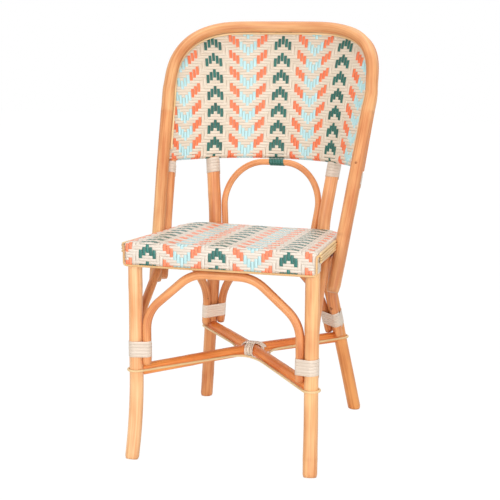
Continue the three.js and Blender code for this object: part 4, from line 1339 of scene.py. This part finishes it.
def binding(name, material, node, centre, axis, poles, turns, follow=None):
    """A strand wound round poles, each given by its place beside the centre and its diameter. With a
    path to follow, the turns are moved sideways onto it, where a pole bends away from the axis."""
    first = square_to(axis, at(1, 0, 0) if abs(axis[2]) > abs(axis[0]) else at(0, 1, 0))
    second = np.cross(axis, first)
    stick = straight_stick(8, turns * TURN_STEPS)
    wide, deep, share = flat_section(stick, STRAND_WIDTH, STRAND_THICK)
    turn = share * turns * 2 * math.pi
    out = first * np.cos(turn)[:, None] + second * np.sin(turn)[:, None]
    offsets, radii = np.array([offset for offset, _ in poles]), np.array([width / 2 for _, width in poles])
    held = np.array([out @ offset + radius for offset, radius in zip(offsets, radii)]).argmax(axis=0)
    # A pole's own swelling is up to 1.8 % of its radius.
    reach = radii[held] * 1.018 + STRAND_THICK / 2 + deep
    run = TURN_PITCH * turns * (share - 0.5) + wide
    bent = centre + offsets[held] + out * reach[:, None] + axis * run[:, None]
    if follow is not None:
        line = centre + axis * run[:, None]
        for i in range(2):
            bent[:, i] += np.interp(centre[2] + axis[2] * run, follow[:, 2], follow[:, i]) - line[:, i]
    memory = np.column_stack([wide, deep, share * turns * 90])
    piece(name, stick, [bent], [memory], material, node)
    print(name, turns, "turns round", len(poles), "poles")


def bundle(width, side=1, *ways):
    """A pole, alone or with the feet of arches beside it in the given directions."""
    flip = at(side, 1, 1)
    return [(at(0, 0, 0), width), *[(way * flip * beside(width), ARCH) for way in ways]]


def hoop_side(side):
    """The straight part of the inner hoop on one side, from its foot upwards."""
    part = inner_path[(inner_path[:, 0] * side > 0) & (inner_path[:, 2] < 640)]
    return part[part[:, 2].argsort()]


# %% Bindings
ROLL_RADIUS = 10 + WEAVE + FIT
inner_axis, post_axis = unit(inner_hoop[1] - inner_hoop[0]), unit(post_top - waist_point)
# The rear-left leg's wrap sits in shade, so it takes the lighter copy of the strand, which is painted light.
sides = [("right", 1, 219, 236, wrap_cream), ("left", -1, 229.5, 236.5, wrap_painted_light)]
for word, side, front_z, rear_z, rear_wrap in sides:
    flip = at(side, 1, 1)
    binding(
        f"wrap_front_leg_{word}", wrap_cream, f"front_leg_binding_{word}",
        at(side * FRONT_X, FRONT_Y, front_z), at(0, 0, 1), bundle(FRONT_LEG, side, at(-1, 0, 0), side_run), 5,
    )
    binding(
        f"wrap_rear_leg_{word}", rear_wrap, f"rear_leg_binding_{word}",
        rear_leg_at(rear_z) * flip, rear_axis * flip, bundle(REAR_LEG, side, to_middle, to_front), 5,
    )
    binding(
        f"wrap_post_{word}", wrap_cream, f"post_binding_{word}", leaning(post_at(BACK_Z - ROLL_RADIUS - 15.5) * flip),
        post_axis * flip, bundle(REAR_LEG), 5, leaning(rear_leg * flip),
    )
    binding(
        f"wrap_hoop_{word}", wrap_cream, f"hoop_binding_{word}",
        (inner_hoop[1] - inner_axis * (ROLL_RADIUS + 10 + 4 * side)) * flip,
        inner_axis * flip, bundle(HOOP), 4, hoop_side(side),
    )
binding(
    "wrap_back_arch", back_colours["green"], "back_arch_binding", at(10, arch_y(apex_z), apex_z), at(1, 0, 0),
    bundle(BACK_ARCH), 5,
)

# %% [markdown]
# The lashing of the crossing goes round both stretchers at once. Its turns lie across one of them and
# lean along the other, so each turn shifts to the far side where it goes over and under.

# %% Lashing of the crossing
LASH_TURNS, LASH_PITCH, LASH_WIDTH, LASH_THICK = 4, 4.7, 4.5, 1.1
arm_lean = abs(ends["front_right"][0]) / abs(ends["front_right"][1] - crossing[1])


def lashing(lean, lift):
    """A strand wound over the crossing: along, across and up, with its memory of the straight strand."""
    stick = straight_stick(8, LASH_TURNS * TURN_STEPS)
    wide, deep, share = flat_section(stick, LASH_WIDTH, LASH_THICK)
    turn = share * LASH_TURNS * 2 * math.pi + math.pi / 16
    along = LASH_PITCH * LASH_TURNS * (share - 0.5) + wide
    reach = STRETCHER / 2 * 1.015 + 2 * FIT + 0.6 + lift + deep
    shift = np.tanh(np.cos(turn) * 6) * np.abs(along) / lean
    across = shift + reach * math.hypot(1, lean) / lean * np.cos(turn)
    return stick, along, across, reach * np.sin(turn), np.column_stack([wide, deep, share * 400])


stick, along, across, up, memory = lashing(arm_lean, 0)
bent = np.stack([along, crossing[1] + across, crossing[2] + up], -1)
# The lashing lies in the seat's shade. Both of its strands take the lighter copy of the strand, which is painted
# light.
piece("wrap_crossing", stick, [bent], [memory], wrap_painted_light, "stretcher_lashing")
stick, along, across, up, memory = lashing(1 / arm_lean, 1.2)
bent = np.stack([across, crossing[1] - along, crossing[2] + up], -1)
piece("wrap_crossing_over", stick, [bent], [memory], wrap_painted_light)
print("lashing: two strands of", LASH_TURNS, "turns")

# %% [markdown]
# ## Nails
#
# Small round-headed nails hold the poles. Each sits on the surface of the pole it holds. A head could
# be spun from its profile; a sphere pressed flat gives the same low dome in one step.

# %% Nails
steel = Shader("nail_steel")
spot = steel.noise(steel.node("ShaderNodeTexCoord", out="Object"), 2.0, 900.0)
rust = steel.toned(spot, (150, 94, 56), (186, 122, 76))
nail_finish = steel.finish(Base_Color=rust, Metallic=0.5, Roughness=0.45)


def nail(name, middle, width, axis, facing, side, size):
    """A low round head on a pole, beside a place on its middle line; on the left it is mirrored."""
    flip = at(side, 1, 1)
    towards = square_to(axis, facing)
    point = (middle + towards * width / 2) * flip
    bm = bmesh.new()
    bmesh.ops.create_uvsphere(bm, u_segments=16, v_segments=8, radius=size)
    bmesh.ops.scale(bm, vec=(1, 1, 0.42), verts=bm.verts[:])
    head = Vector(towards * flip).to_track_quat("Z", "Y").to_matrix().to_4x4()
    centre = Vector((point + (0, SHIFT_Y, 0)).tolist())
    bmesh.ops.transform(bm, matrix=Matrix.Translation(centre) @ head, verts=bm.verts[:])
    bmesh.ops.scale(bm, vec=(0.001,) * 3, verts=bm.verts[:])
    dressed(name, mesh_of(name, bm), nail_finish)


hoop_axis = unit(outer_curve[0] - hoop_end)
nail("nail_hoop_right", outer_line(595), HOOP, hoop_axis, at(-0.07, -1, 0), 1, 2.7)
for word, side in (("right", 1), ("left", -1)):
    arch_foot, rear_foot = by_rear_leg(270 - 2 * side, to_front), by_rear_leg(244, to_middle)
    nail(f"nail_side_arch_{word}", arch_foot, ARCH, rear_axis, at(-0.38, -0.92, 0), side, 3.4 + 0.7 * side)
    nail(f"nail_rear_arch_{word}", rear_foot, ARCH, rear_axis, at(0.25, -0.97, 0), side, 2.1)
print("five nails")
